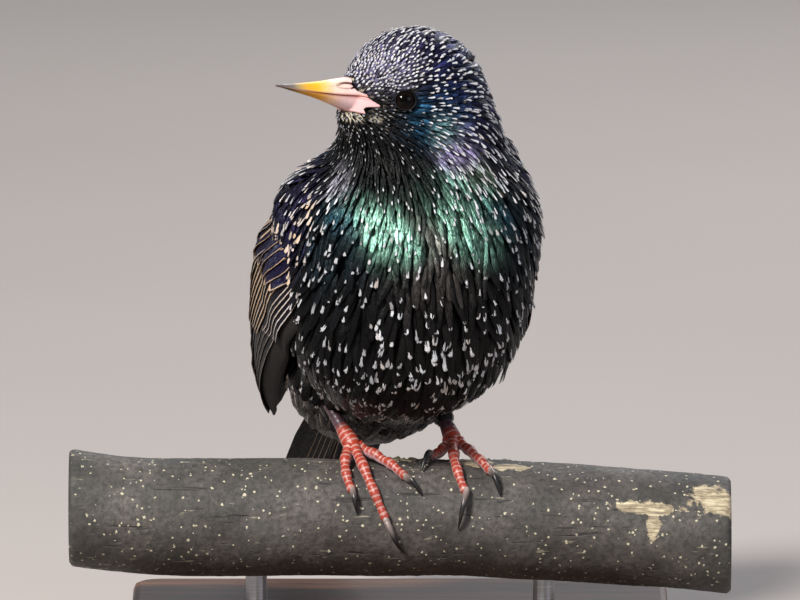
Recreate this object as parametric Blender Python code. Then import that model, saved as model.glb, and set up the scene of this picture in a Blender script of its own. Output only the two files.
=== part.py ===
"""Starling, life size, perched on a cut length of branch over a plain display stand.

Lengths in the tables are millimetres and are turned into metres when a mesh is made.
The bird's own frame has its zero on top of the perch: +Z up, and +Y away from the viewer.
"forward" is where the chest points, "left" is the bird's left.
"""

import math

import bpy
import numpy as np
from mathutils import Matrix

MM = 0.001
GAP = 0.3                   # clearance between neighbouring solids

# ---------------------------------------------------------------- stand and perch
BASE_LENGTH = 150.0
BASE_DEPTH = 112.0
BASE_THICKNESS = 10.0
BASE_EDGE = 2.0
BASE_CORNER = 8.0
ROD_RADIUS = 3.0
ROD_SPACING = 80.0
ROD_IN_BASE = 6.0
ROD_IN_PERCH = 9.0
PERCH_TOP = 54.0            # height of the perch's top over the floor
PERCH_BACK = -8.0           # the perch's axis from the middle of the base, along Y
PERCH_HALF_LENGTH = 92.0
PERCH_RADIUS = 16.3
PERCH_AXIS = -17.1          # the axis under the bird's feet
PERCH_ROUND = 1.0           # rounding of the sawn ends

# ---------------------------------------------------------------- pose
BODY_YAW = 16.0             # the chest turned towards +X
HEAD_YAW = 50.0             # the bill turned towards -X
HEAD_PITCH = 10.0           # the bill lifted
BODY_X = 1.3
HEAD_AT = (2.5, -12.0, 102.6)

# Masses of the feathered body: frame, centre (forward, left, up), radii (along, across,
# deep), pitch in degrees. They are joined with a soft blend.
BLEND = 6.0
MASSES = {
    "trunk": ("body", (-9.0, 0.0, 47.0), (43.0, 28.5, 28.5), 50.0),
    "belly": ("body", (12.0, 0.0, 41.2), (29.5, 30.8, 23.0), 60.0),
    "breast": ("body", (14.0, 0.0, 66.5), (19.1, 30.6, 19.4), 40.0),
    "rump": ("body", (-24.0, 0.0, 23.0), (27.0, 23.5, 17.0), 42.0),
    "tail_root": ("body", (-44.0, 0.0, 15.0), (15.0, 11.5, 9.0), 42.0),
    "neck": ("body", (3.0, 0.0, 82.6), (18.4, 15.0, 16.9), 30.0),
    "nape": ("head", (-10.6, 0.0, -9.6), (18.0, 14.0, 14.5), 10.0),
    "cranium": ("head", (-2.0, 0.0, 5.8), (16.6, 13.0, 12.8), 0.0),
    "face": ("head", (9.5, 0.0, -3.2), (11.0, 6.2, 7.8), 0.0),
}
# Forehead, shoulders and flanks: the same columns, then how softly each joins the rest.
ADDED = (
    ("head", (13.0, 0.0, 6.6), (7.0, 6.0, 5.0), -30.0, 3.0),
    ("body", (4.0, 24.4, 63.8), (17.0, 14.0, 18.0), 20.0, 6.0),
    ("body", (0.0, -20.1, 72.0), (16.0, 14.5, 14.5), 20.0, 8.0),
    ("body", (-2.0, 20.0, 44.5), (25.0, 15.3, 22.0), 30.0, 8.0),
    ("body", (-2.0, -20.5, 50.0), (25.0, 15.5, 24.0), 30.0, 8.0),
)

# The line that the body's rings are strung on: place along it, forward, left, up, tilt.
SPINE_V = (0.0, 0.12, 0.30, 0.50, 0.65, 0.80, 1.0)
SPINE_F = (-52.0, -42.0, -26.0, -6.0, 5.0, 9.5, 10.5)
SPINE_L = (0.0, 0.0, 0.0, 0.0, 0.0, -0.8, -2.0)
SPINE_Z = (11.0, 19.0, 33.0, 50.0, 67.0, 86.0, 117.0)
SPINE_TILT = (40.0, 42.0, 46.0, 58.0, 75.0, 88.0, 90.0)
TRUNK_TO_NECK = 0.70
NECK_TO_HEAD = 0.81

# ---------------------------------------------------------------- wings and tail
WING_S = (0.0, 0.12, 0.30, 0.50, 0.70, 0.85, 1.0)
WING_F = (17.0, 8.0, -8.0, -28.0, -50.0, -66.0, -84.0)
WING_Z = (64.0, 61.0, 51.0, 37.0, 22.0, 12.0, 2.0)
WING_HALF_HEIGHT = (7.0, 17.5, 22.0, 20.0, 12.5, 7.5, 2.5)
WING_OUT = (30.0, 35.6, 37.4, 35.4, 29.5, 23.4, 15.4)
WING_THICK = (5.0, 10.0, 14.0, 13.0, 7.0, 3.0, 1.4)
WING_EDGE_THICK = 1.0
WING_OVER_BACK = 2.0
WING_STEPS = 15
WING_CROSS_STEPS = 10
TAIL_ROOT = (-47.0, 15.5)   # forward, up
TAIL_TIP = (-95.0, -27.0)
TAIL_HALF_WIDTH = (13.2, 14.0)
TAIL_THICKNESS = (2.4, 1.2)
TAIL_NOTCH = 1.2

# ---------------------------------------------------------------- head parts
EYE_ALONG = 12.1
EYE_HEIGHT = -1.05
EYE_RADIUS = 3.7
EYE_SHOWS = 2.8             # radius of the part that shows
BILL_TIP = 48.3
BILL_BACK = 17.0
# Bill from back to tip: along, top, line between the halves, bottom, half width.
BILL_STATIONS = (
    (17.0, 3.6, -2.6, -6.4, 5.0),
    (21.0, 3.3, -2.6, -5.9, 4.3),
    (24.0, 2.9, -2.5, -5.3, 3.7),
    (28.0, 2.1, -2.3, -4.5, 3.0),
    (33.0, 1.1, -2.0, -3.6, 2.3),
    (38.0, 0.3, -1.8, -2.9, 1.7),
    (43.0, -0.5, -1.5, -2.25, 1.15),
    (46.5, -0.95, -1.45, -1.75, 0.75),
    (48.3, -1.2, -1.4, -1.65, 0.4),
)

# ---------------------------------------------------------------- legs and feet
THIGH_RADII = (9.0, 6.2)
PAD_RADII = (3.4, 2.8)      # of the ball of the foot: across and deep
TARSUS_RADII = (1.6, 1.75, 1.45, 1.6, 1.65, 1.1)
TOE_RADIUS = 1.35
CLAW_RADIUS = 1.0
CLAW_CLEAR = 0.6            # more room at a claw, where it turns away from its toe
# For each side: the ball's X, angle round the perch and height over the bark, the heel in the
# bird's frame, and the toes: start direction in degrees (0 is down the front), end (X, angle)
# and claw tip.
FEET = {
    "right": {
        "ball": (-13.3, 4.0, 4.4),
        "heel": (-24.0, 11.0, 19.8),
        "toes": (
            (188.0, (-12.0, -30.0), (-12.6, -58.0)),
            (72.0, (1.9, 43.5), (6.1, 60.0)),
            (20.0, (-3.6, 85.6), (1.4, 118.0)),
            (-26.0, (-13.1, 58.0), (-11.9, 78.0)),
        ),
    },
    "left": {
        "ball": (14.9, -11.0, 5.2),
        "heel": (6.3, 20.5, 21.5),
        "toes": (
            (176.0, (14.6, -66.0), (13.8, -94.0)),
            (-56.0, (8.6, 5.5), (5.8, 33.0)),
            (-4.0, (18.3, 58.5), (16.1, 92.0)),
            (50.0, (25.3, 34.8), (27.8, 59.0)),
        ),
    },
}

COLORS = {
    "plumage": (0.020, 0.021, 0.026, 1.0),
    "wing": (0.030, 0.024, 0.024, 1.0),
    "eye": (0.012, 0.008, 0.006, 1.0),
    "bill": (0.62, 0.47, 0.26, 1.0),
    "leg": (0.50, 0.16, 0.12, 1.0),
    "claw": (0.10, 0.08, 0.075, 1.0),
    "bark": (0.062, 0.058, 0.054, 1.0),
    "stained_wood": (0.10, 0.055, 0.030, 1.0),
    "steel": (0.45, 0.45, 0.46, 1.0),
}

UP = np.array([0.0, 0.0, 1.0])


def turned(degrees):
    """Forward and left unit vectors of a frame yawed from the viewer towards +X."""
    a = math.radians(degrees)
    return np.array([math.sin(a), -math.cos(a), 0.0]), np.array([math.cos(a), math.sin(a), 0.0])


FORWARD, LEFT = turned(BODY_YAW)
FACING, FACE_LEFT = turned(-HEAD_YAW)


def body(f, l, z):
    """Point of the body's frame in the bird's frame; the inputs can be arrays."""
    f, l, z = np.broadcast_arrays(np.asarray(f, float), l, z)
    return np.array([BODY_X, 0.0, 0.0]) + f[..., None] * FORWARD + l[..., None] * LEFT + z[..., None] * UP


def pitched(forward, left, degrees):
    """Rows along, left and up of a frame lifted by a pitch angle."""
    a = math.radians(degrees)
    along = math.cos(a) * forward + math.sin(a) * UP
    return np.stack([along, left, -math.sin(a) * forward + math.cos(a) * UP])


HEAD_ROWS = pitched(FACING, FACE_LEFT, HEAD_PITCH)


def head(a, l, u):
    """Point of the head's frame in the bird's frame."""
    a, l, u = np.broadcast_arrays(np.asarray(a, float), l, u)
    return np.array(HEAD_AT) + np.stack([a, l, u], -1) @ HEAD_ROWS


def mass_table(frame, centre, radii, pitch):
    """Centre, radii and axes of a mass."""
    if frame == "body":
        return body(*centre), np.array(radii), pitched(FORWARD, LEFT, pitch)
    return head(*centre), np.array(radii), pitched(FACING, FACE_LEFT, pitch + HEAD_PITCH)


TABLES = [mass_table(*mass) for mass in MASSES.values()]
ADDED_TABLES = [(mass_table(*mass[:4]), mass[4]) for mass in ADDED]


def mass_distance(p, centre, radii, rows):
    """Distance-like value of one ellipsoid."""
    q = (p - centre) @ rows.T
    k0 = np.linalg.norm(q / radii, axis=-1)
    k1 = np.linalg.norm(q / radii**2, axis=-1)
    return k0 * (k0 - 1.0) / np.maximum(k1, 1e-9)


def field(p):
    """Distance-like value of the blended body: negative inside, zero on the feathers' outline."""
    near = np.stack([mass_distance(p, *mass) for mass in TABLES])
    low = near.min(0)
    value = low - BLEND * np.log(np.exp(-(near - low) / BLEND).sum(0))
    for mass, soft in ADDED_TABLES:
        extra = mass_distance(p, *mass)
        mixed = np.clip(0.5 + 0.5 * (value - extra) / soft, 0.0, 1.0)
        value = value + (extra - value) * mixed - soft * mixed * (1.0 - mixed)
    return value


def outermost(start, direction, reach, step=1.0):
    """Distance along each ray to the last place where it leaves the body, 0 where it misses."""
    t = np.arange(0.0, reach, step)
    inside = field(start[..., None, :] + t[:, None] * direction[..., None, :]) < 0.0
    last = np.where(inside.any(-1), inside.shape[-1] - 1 - inside[..., ::-1].argmax(-1), -1)
    low = t[np.maximum(last, 0)]
    high = low + step
    for _ in range(22):
        mid = 0.5 * (low + high)
        out = field(start + mid[..., None] * direction) > 0.0
        high = np.where(out, mid, high)
        low = np.where(out, low, mid)
    return np.where(last >= 0, low, 0.0)


def spine(v):
    """Ring centre and the two axes of the ring's plane at place v."""
    f = np.interp(v, SPINE_V, SPINE_F)
    l = np.interp(v, SPINE_V, SPINE_L)
    z = np.interp(v, SPINE_V, SPINE_Z)
    a = math.radians(np.interp(v, SPINE_V, SPINE_TILT))
    normal = math.cos(a) * FORWARD + math.sin(a) * UP
    down = math.sin(a) * FORWARD - math.cos(a) * UP
    return body(f, l, z), down, normal


# ---------------------------------------------------------------- mesh helpers
def surface_of(name, color, roughness, metallic=0.0):
    mat = bpy.data.materials.new(name)
    mat.use_nodes = True
    bsdf = mat.node_tree.nodes["Principled BSDF"]
    bsdf.inputs["Base Color"].default_value = color
    bsdf.inputs["Roughness"].default_value = roughness
    bsdf.inputs["Metallic"].default_value = metallic
    mat.diffuse_color = color
    return mat


def to_floor(points):
    """Bird's frame in millimetres to the model's frame in metres."""
    return (np.asarray(points, float) + np.array([0.0, PERCH_BACK, PERCH_TOP])) * MM


def add_object(name, points, faces, mat, smooth=True):
    mesh = bpy.data.meshes.new(name)
    mesh.from_pydata(to_floor(points).tolist(), [], faces)
    mesh.validate()
    mesh.polygons.foreach_set("use_smooth", [smooth] * len(mesh.polygons))
    mesh.materials.append(mat)
    obj = bpy.data.objects.new(name, mesh)
    bpy.context.collection.objects.link(obj)
    return obj


def tube_faces(rings, around, turn=False):
    """Faces of a closed tube of rings, with a pole vertex before the first and after the last."""
    faces = []
    for i in range(rings - 1):
        for j in range(around):
            k = (j + 1) % around
            a, b = 1 + i * around, 1 + (i + 1) * around
            faces.append((a + j, a + k, b + k, b + j))
    last = 1 + (rings - 1) * around
    for j in range(around):
        k = (j + 1) % around
        faces.append((0, 1 + k, 1 + j))
        faces.append((last + j, last + k, last + around))
    return [tuple(reversed(f)) for f in faces] if turn else faces


def add_tube(name, rings, first, last, mat, turn=False):
    """rings is an array (rings, around, 3); first and last are the pole points."""
    points = np.vstack([np.reshape(first, (1, 3)), rings.reshape(-1, 3), np.reshape(last, (1, 3))])
    return add_object(name, points, tube_faces(rings.shape[0], rings.shape[1], turn), mat)


def along_path(path, radii, around, flat=1.0, side=None):
    """Rings of a round tube along a path; flat squeezes it across the side direction."""
    tangent = np.gradient(path, axis=0)
    tangent /= np.linalg.norm(tangent, axis=1, keepdims=True)
    side = UP if side is None else side
    first = np.cross(tangent, side)
    first /= np.linalg.norm(first, axis=1, keepdims=True)
    second = np.cross(first, tangent)
    turn = np.arange(around) * 2.0 * math.pi / around
    radii = np.asarray(radii, float)[:, None, None]
    spread = np.cos(turn)[None, :, None] * first[:, None] + flat * np.sin(turn)[None, :, None] * second[:, None]
    return path[:, None] + radii * spread


def cut(obj, tool):
    tool.hide_render = True
    tool.display_type = "WIRE"
    mod = obj.modifiers.new("cut_" + tool.name, "BOOLEAN")
    mod.operation = "DIFFERENCE"
    mod.solver = "EXACT"
    mod.object = tool


def ellipsoid(name, centre, radii, rows, mat, rings=10, around=16):
    """Closed ellipsoid with its long axis on the first row."""
    a = np.linspace(0.0, math.pi, rings + 2)[1:-1]
    b = np.arange(around) * 2.0 * math.pi / around
    local = np.stack(np.broadcast_arrays(
        -np.cos(a)[:, None] * radii[0],
        np.sin(a)[:, None] * np.cos(b) * radii[1],
        np.sin(a)[:, None] * np.sin(b) * radii[2]), -1)
    return add_tube(name, centre + local @ rows, centre - radii[0] * rows[0],
                    centre + radii[0] * rows[0], mat)


# ---------------------------------------------------------------- body of flesh
def body_rings(v_values, around):
    rings = []
    turn = np.arange(around) * 2.0 * math.pi / around
    for v in v_values:
        centre, down, _ = spine(v)
        rays = np.cos(turn)[:, None] * down + np.sin(turn)[:, None] * LEFT
        reach = outermost(np.broadcast_to(centre, rays.shape), rays, 60.0)
        rings.append(centre + reach[:, None] * rays)
    return np.array(rings)


def shifted(ring, v, distance):
    """A ring of points moved along the spine's normal."""
    return ring + distance * spine(v)[2]


def make_flesh(mats):
    mat = mats["plumage"]
    around = 32
    low = 0.5 * GAP
    # trunk, from the tail's root up to the neck
    v = np.concatenate([[0.0, 0.06], np.linspace(0.12, TRUNK_TO_NECK, 16)])
    rings = body_rings(v, around)
    rings[-1] = shifted(rings[-1], v[-1], -low)
    centre, _, normal = spine(0.0)
    back = outermost(centre[None], -normal[None], 40.0)[0]
    steps = (0.93, 0.75, 0.45)
    turn = np.arange(around) * 2.0 * math.pi / around
    ends = []
    for part in steps:
        start = centre - part * back * normal
        rays = np.cos(turn)[:, None] * spine(0.0)[1] + np.sin(turn)[:, None] * LEFT
        reach = outermost(np.broadcast_to(start, rays.shape), rays, 40.0, 0.5)
        ends.append(start + reach[:, None] * rays)
    rings = np.concatenate([np.array(ends), rings])
    top = rings[-1].mean(0)
    trunk = add_tube("trunk", rings, centre - back * normal, top, mat)
    # neck
    v = np.linspace(TRUNK_TO_NECK, NECK_TO_HEAD, 4)
    rings = body_rings(v, around)
    rings[0] = shifted(rings[0], v[0], low)
    rings[-1] = shifted(rings[-1], v[-1], -low)
    add_tube("neck", rings, rings[0].mean(0), rings[-1].mean(0), mat)
    # head, up to the crown
    v = np.linspace(NECK_TO_HEAD, 0.93, 8)
    rings = body_rings(v, around)
    rings[0] = shifted(rings[0], v[0], low)
    centre, down, normal = spine(0.93)
    rise = outermost(centre[None], normal[None], 60.0)[0]
    crown = centre + rise * normal
    caps = []
    for part in (0.22, 0.44, 0.63, 0.79, 0.90, 0.97):
        start = centre + part * rise * normal
        rays = np.cos(turn)[:, None] * down + np.sin(turn)[:, None] * LEFT
        reach = outermost(np.broadcast_to(start, rays.shape), rays, 40.0, 0.5)
        caps.append(start + reach[:, None] * rays)
    rings = np.concatenate([rings, np.array(caps)])
    skull = add_tube("head", rings, rings[0].mean(0), crown, mat)
    return trunk, skull


# ---------------------------------------------------------------- wings
def slope_of(p):
    """Value of the body's field and its unit gradient."""
    grad = np.stack([field(p + e) - field(p - e) for e in np.eye(3) * 0.1], -1)
    return field(p), grad / np.maximum(np.linalg.norm(grad, axis=-1, keepdims=True), 1e-9)


def kept_off(p, least):
    """Points moved out along the body's gradient until they are at least this far from it."""
    for _ in range(3):
        value, way = slope_of(p)
        p = p + np.clip(least - value, 0.0, None)[..., None] * way
    return p


def clear_of_body(grid, least):
    """A grid moved out until its flat faces, not only its corners, are this far from the body."""
    room = np.full(grid.shape[:2], least)
    moved = kept_off(grid, room)
    for _ in range(4):
        worst = np.full(grid.shape[:2], np.inf)
        for a in (0.25, 0.5, 0.75):
            for b in (0.25, 0.5, 0.75):
                side_a = (1 - b) * moved[:-1, :-1] + b * moved[:-1, 1:]
                side_b = (1 - b) * moved[1:, :-1] + b * moved[1:, 1:]
                value = field((1 - a) * side_a + a * side_b)
                for i in (slice(None, -1), slice(1, None)):
                    for j in (slice(None, -1), slice(1, None)):
                        worst[i, j] = np.minimum(worst[i, j], value)
        room = room + np.clip(least - 0.1 - worst, 0.0, None)
        moved = kept_off(grid, room)
    return moved


def wing_grid(side):
    """Outer and inner points of a folded wing; t runs from the lower to the upper edge.

    The outer face is a curved shell: it stands out beside the breast, and its upper edge comes
    in over the back. The inner face follows it at the wing's thickness, outside the body.
    """
    s = np.linspace(0.0, 1.0, WING_STEPS)[:, None]
    t = 1.0 - 2.0 * np.linspace(1.0, 0.0, WING_CROSS_STEPS)[None, :] ** 1.35
    f0, z0, high, out, thick = [np.interp(s, WING_S, row) for row in
                                (WING_F, WING_Z, WING_HALF_HEIGHT, WING_OUT, WING_THICK)]
    slope = np.arctan(np.gradient(z0[:, 0]) / np.gradient(f0[:, 0]))[:, None]
    f = f0 - t * high * np.sin(slope)
    z = z0 + t * high * np.cos(slope)
    start = body(f, 0.0, z)
    flank = outermost(start, np.broadcast_to(side * LEFT, start.shape), 60.0)
    over = np.clip(t, 0.0, 1.0) ** np.interp(s, (0.3, 0.6), (3.0, 2.0))
    under = np.clip(-t, 0.0, 1.0) ** 2.5 * 4.0 * np.clip(high / 20.0, 0.1, 1.0)
    lateral = (1.0 - over) * (out - under) + over * np.minimum(out, flank + WING_OVER_BACK)
    outer = kept_off(body(f, side * lateral, z), 0.8 + WING_EDGE_THICK)
    along, across = np.gradient(outer, axis=0), np.gradient(outer, axis=1)
    normal = side * np.cross(along, across)
    normal /= np.linalg.norm(normal, axis=-1, keepdims=True)
    edge = np.maximum(np.abs(t) ** 3, np.clip(1.0 - s / 0.06, 0.0, 1.0))
    depth = WING_EDGE_THICK + (thick - WING_EDGE_THICK) * (1.0 - edge)
    inner = clear_of_body(outer - depth[..., None] * normal, 0.8)
    least = WING_EDGE_THICK - ((outer - inner) * normal).sum(-1)
    return outer + np.clip(least, 0.0, None)[..., None] * normal, inner


def sheet_faces(rows, cols):
    """Faces of a closed sheet: an outer grid, then an inner grid, joined round the border."""
    n = rows * cols
    faces = []
    for i in range(rows - 1):
        for j in range(cols - 1):
            a, b = i * cols + j, (i + 1) * cols + j
            faces.append((a, b, b + 1, a + 1))
            faces.append((n + a, n + a + 1, n + b + 1, n + b))
    for i in range(rows - 1):
        for j, flip in ((0, False), (cols - 1, True)):
            a, b = i * cols + j, (i + 1) * cols + j
            quad = (a, n + a, n + b, b)
            faces.append(tuple(reversed(quad)) if flip else quad)
    for j in range(cols - 1):
        for i, flip in ((0, True), (rows - 1, False)):
            a = i * cols + j
            quad = (a, n + a, n + a + 1, a + 1)
            faces.append(tuple(reversed(quad)) if flip else quad)
    return faces


def add_sheet(name, outer, inner, mat, turn=False):
    points = np.vstack([outer.reshape(-1, 3), inner.reshape(-1, 3)])
    faces = sheet_faces(outer.shape[0], outer.shape[1])
    if turn:
        faces = [tuple(reversed(f)) for f in faces]
    return add_object(name, points, faces, mat)


def make_wings(mats):
    for name, side in (("wing_left", 1.0), ("wing_right", -1.0)):
        outer, inner = wing_grid(side)
        add_sheet(name, outer, inner, mats["wing"], turn=side < 0.0)


# ---------------------------------------------------------------- tail
def tail_grids(extra):
    """Upper and lower points of the folded tail; extra makes it larger on every side."""
    p = np.linspace(0.0, 1.0, 9)[:, None]
    q = np.linspace(-1.0, 1.0, 9)[None, :]
    root, tip = np.array(TAIL_ROOT), np.array(TAIL_TIP)
    length = np.linalg.norm(tip - root)
    way = (tip - root) / length
    end = 1.0 - TAIL_NOTCH / length * (1.0 - np.abs(q) ** 1.5) - 0.045 * np.abs(q) ** 4
    reach = p * end * (length + extra) - extra * (1.0 - p)
    width = np.interp(p, (0.0, 1.0), TAIL_HALF_WIDTH) + extra
    half = 0.5 * np.interp(p, (0.0, 1.0), TAIL_THICKNESS) * (1.0 - 0.35 * q**4) + extra
    sag = 2.2 * q * q
    grids = []
    for sign in (1.0, -1.0):
        lift = sign * half - sag
        f = root[0] + reach * way[0] - lift * way[1]
        z = root[1] + reach * way[1] + lift * way[0] * -1.0
        grids.append(body(f, q * width, z))
    return grids


def make_tail(mats, trunk):
    upper, lower = tail_grids(0.0)
    add_sheet("tail", upper, lower, mats["wing"], turn=True)
    upper, lower = tail_grids(GAP)
    cut(trunk, add_sheet("tail_slot", upper, lower, mats["wing"], turn=True))


# ---------------------------------------------------------------- bill and eyes
def bill_half(name, mat, is_upper):
    rings = []
    around = 14
    turn = np.arange(around) * 2.0 * math.pi / around
    for along, top, middle, bottom, width in BILL_STATIONS:
        share = max(0.08, (BILL_TIP - along) / (BILL_TIP - BILL_BACK))
        split = 0.5 * GAP * min(1.0, 4.0 * share)
        rise = np.sin(turn)
        if is_upper:
            base, far = middle + split, top
            curved = np.clip(rise, 0.0, 1.0) ** 0.9
            across = width * np.cos(turn) * (1.0 - 0.10 * np.clip(rise, 0.0, 1.0))
        else:
            base, far = middle - split, bottom
            curved = np.clip(-rise, 0.0, 1.0) ** 0.8
            across = 0.92 * width * np.cos(turn)
        up = base + (far - base) * curved
        rings.append(head(along, across, up))
    rings = np.array(rings)
    return add_tube(name, rings, rings[0].mean(0), rings[-1].mean(0) + 0.15 * HEAD_ROWS[0], mat, turn=True)


def flesh_cutter(mat):
    """The face a little larger, to trim the back of the bill to the feathers."""
    a = np.linspace(0.02, 0.98, 18) * math.pi
    b = np.arange(28) * 2.0 * math.pi / 28
    centre = head(4.0, 0.0, -2.0)
    rays = (np.cos(a)[:, None, None] * -HEAD_ROWS[0]
            + np.sin(a)[:, None, None] * (np.cos(b)[:, None] * HEAD_ROWS[1] + np.sin(b)[:, None] * HEAD_ROWS[2]))
    start = np.broadcast_to(centre, rays.shape)
    reach = np.minimum(outermost(start, rays, 50.0), 19.5) + GAP + 0.15
    ends = [centre + sign * (min(outermost(centre[None], sign * HEAD_ROWS[:1], 50.0)[0], 19.5)
                             + GAP + 0.15) * HEAD_ROWS[0] for sign in (-1.0, 1.0)]
    return add_tube("face_form", centre + reach[..., None] * rays, ends[0], ends[1], mat)


def make_bill(mats):
    tool = flesh_cutter(mats["bill"])
    for name, upper in (("bill_upper", True), ("bill_lower", False)):
        cut(bill_half(name, mats["bill"], upper), tool)


def eye_centre(side):
    """The eyeball sits in the head so that only its front cap shows."""
    start = head(EYE_ALONG, 0.0, EYE_HEIGHT)
    out = side * HEAD_ROWS[1]
    surface = outermost(start[None], out[None], 40.0)[0]
    depth = math.sqrt(EYE_RADIUS**2 - EYE_SHOWS**2)
    probe = start + surface * out
    slope = np.array([field(probe + 0.1 * e) - field(probe - 0.1 * e) for e in np.eye(3)])
    slope /= np.linalg.norm(slope)
    return probe - depth * slope, slope


def make_eyes(mats, skull):
    for name, side in (("eye_left", 1.0), ("eye_right", -1.0)):
        centre, look = eye_centre(side)
        across = np.cross(UP, look)
        across /= np.linalg.norm(across)
        rows = np.stack([look, across, np.cross(look, across)])
        ellipsoid(name, centre, (EYE_RADIUS,) * 3, rows, mats["eye"], 7, 14)
        wide = EYE_RADIUS + GAP
        cut(skull, ellipsoid(name + "_socket", centre, (wide,) * 3, rows, mats["eye"], 7, 12))


# ---------------------------------------------------------------- legs and feet
def perch_centre(x):
    """Height of the perch's axis at X: it rises at one end and falls at the other."""
    x = np.asarray(x, float)
    return PERCH_AXIS - 0.0006 * np.clip(x, 0.0, None) ** 2 + 0.0021 * np.clip(-x - 55.0, 0.0, None) ** 2


def on_perch(x, degrees, height):
    """Point over the bark; the angle runs from the top of the perch down its front."""
    x, degrees, height = np.broadcast_arrays(np.asarray(x, float), degrees, height)
    a = np.radians(degrees)
    r = PERCH_RADIUS + height
    return np.stack([x, -r * np.sin(a), perch_centre(x) + r * np.cos(a)], -1)


def toe_path(ball, start_deg, end, count):
    """Curve over the bark from the edge of the pad to the toe's end, as (X, angle) pairs."""
    per_degree = math.radians(1.0) * PERCH_RADIUS
    a = math.radians(start_deg)
    start = np.array([ball[0] + (PAD_RADII[0] + 0.5) * math.sin(a),
                      ball[1] + (PAD_RADII[0] + 0.5) * math.cos(a) / per_degree])
    end = np.array(end, float)
    flat = np.array([1.0, per_degree])
    span = np.linalg.norm((end - start) * flat)
    bend = start + 0.45 * span * np.array([math.sin(a), math.cos(a) / per_degree])
    u = np.linspace(0.0, 1.0, count)[:, None]
    return (1 - u) ** 2 * start + 2 * u * (1 - u) * bend + u * u * end


def make_leg(side, ball, heel, mats, trunk):
    """The ball of the foot, the bare shank and the feathered thigh."""
    centre = on_perch(*ball)
    out = on_perch(ball[0], ball[1], 1.0) - on_perch(ball[0], ball[1], 0.0)
    along = np.array([1.0, 0.0, 0.0])
    rows = np.stack([out, along, np.cross(out, along)])
    pad = (PAD_RADII[1], PAD_RADII[0], PAD_RADII[0])
    ellipsoid("foot_" + side, centre, pad, rows, mats["leg"], 5, 12)
    # shank, from the ball up into the thigh's feathers
    leave = np.linalg.norm(heel - centre)
    way = (heel - centre) / leave
    steps = np.linspace(0.0, leave, 60)
    exit_at = steps[np.argmax(field(centre + steps[:, None] * way) < 0.0)]
    top = exit_at + 3.0
    radii = np.array(TARSUS_RADII)
    path = centre + np.array([1.2, 3.0, 0.5 * top, top - 3.0, top - 0.6, top])[:, None] * way
    rings = along_path(path, radii, 12)
    tarsus = add_tube("tarsus_" + side, rings, path[0], path[-1], mats["leg"], turn=True)
    wide = tuple(r + GAP for r in pad)
    cut(tarsus, ellipsoid("foot_form_" + side, centre, wide, rows, mats["leg"], 9, 20))
    # thigh
    across = np.cross(way, UP)
    across /= np.linalg.norm(across)
    frame = np.stack([way, across, np.cross(way, across)])
    middle = centre + (exit_at + 6.0) * way
    long, round_ = THIGH_RADII
    size = (long, round_, round_)
    thigh = ellipsoid("thigh_" + side, middle, size, frame, mats["plumage"], 7, 12)
    grown = tuple(r + GAP for r in size)
    cut(trunk, ellipsoid("thigh_form_" + side, middle, grown, frame, mats["plumage"], 7, 12))
    path = centre + np.array([0.0, 3.0, 0.5 * top, top - 3.0, top - 0.3, top + GAP])[:, None] * way
    rings = along_path(path, radii + GAP, 12)
    cut(thigh, add_tube("tarsus_form_" + side, rings, path[0], path[-1], mats["leg"], turn=True))


def make_toe(name, ball, start_deg, end, tip, mats):
    """A toe that comes down from the ball of the foot on to the bark, and its claw."""
    flat_path = toe_path(ball, start_deg, end, 8)
    u = np.linspace(0.0, 1.0, 8)
    radii = TOE_RADIUS * (1.05 - 0.22 * u) * (1.0 + 0.10 * np.cos(u * 6.0 * math.pi))
    radii[0] *= 0.8
    radii[-1] *= 0.72
    drop = (ball[2] - 2.2) * (1.0 - u) ** 2.5
    path = on_perch(flat_path[:, 0], flat_path[:, 1], radii + GAP + 0.12 * u + drop)
    # the side that a ring is measured from lies across the toe, so that rings don't twist
    sideways = abs(math.cos(math.radians(start_deg))) < 0.5
    side = np.array([1.0, 0.0, 0.0]) if sideways else UP
    rings = along_path(path, radii, 7, side=side)
    add_tube("toe_" + name, rings, path[0], path[-1], mats["leg"], turn=True)
    # the claw goes on from the toe's end, arching a little, down to the bark
    start = flat_path[-1]
    ahead = np.array(tip, float)
    u = np.linspace(0.0, 1.0, 5)
    gap = (GAP + CLAW_CLEAR) / np.linalg.norm((ahead - start) * np.array([1.0, 0.285]))
    claw_path = start + (gap + (1.0 - gap) * u[:, None]) * (ahead - start)
    radii = CLAW_RADIUS * (1.0 - 0.70 * u**1.3)
    height = GAP + radii + 0.25 + 1.5 * np.sin(u * math.pi) * (1.0 - 0.5 * u)
    path = on_perch(claw_path[:, 0], claw_path[:, 1], height)
    rings = along_path(path, radii, 6, side=side if start_deg > 0.0 else UP)
    add_tube("claw_" + name, rings, path[0], path[-1], mats["claw"], turn=True)


def make_feet(mats, trunk):
    for side, spec in FEET.items():
        make_leg(side, spec["ball"], np.array(spec["heel"]), mats, trunk)
        for number, (start_deg, end, tip) in enumerate(spec["toes"], 1):
            make_toe("%s_%d" % (side, number), spec["ball"], start_deg, end, tip, mats)


# ---------------------------------------------------------------- perch and stand
def add_cylinder(name, x, z_low, z_high, radius, mat, around=20):
    turn = np.arange(around) * 2.0 * math.pi / around
    circle = np.stack([x + radius * np.cos(turn), radius * np.sin(turn), np.zeros(around)], -1)
    rings = np.stack([circle + z_low * UP, circle + z_high * UP])
    middle = np.array([x, 0.0, 0.0])
    return add_tube(name, rings, middle + z_low * UP, middle + z_high * UP, mat)


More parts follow.
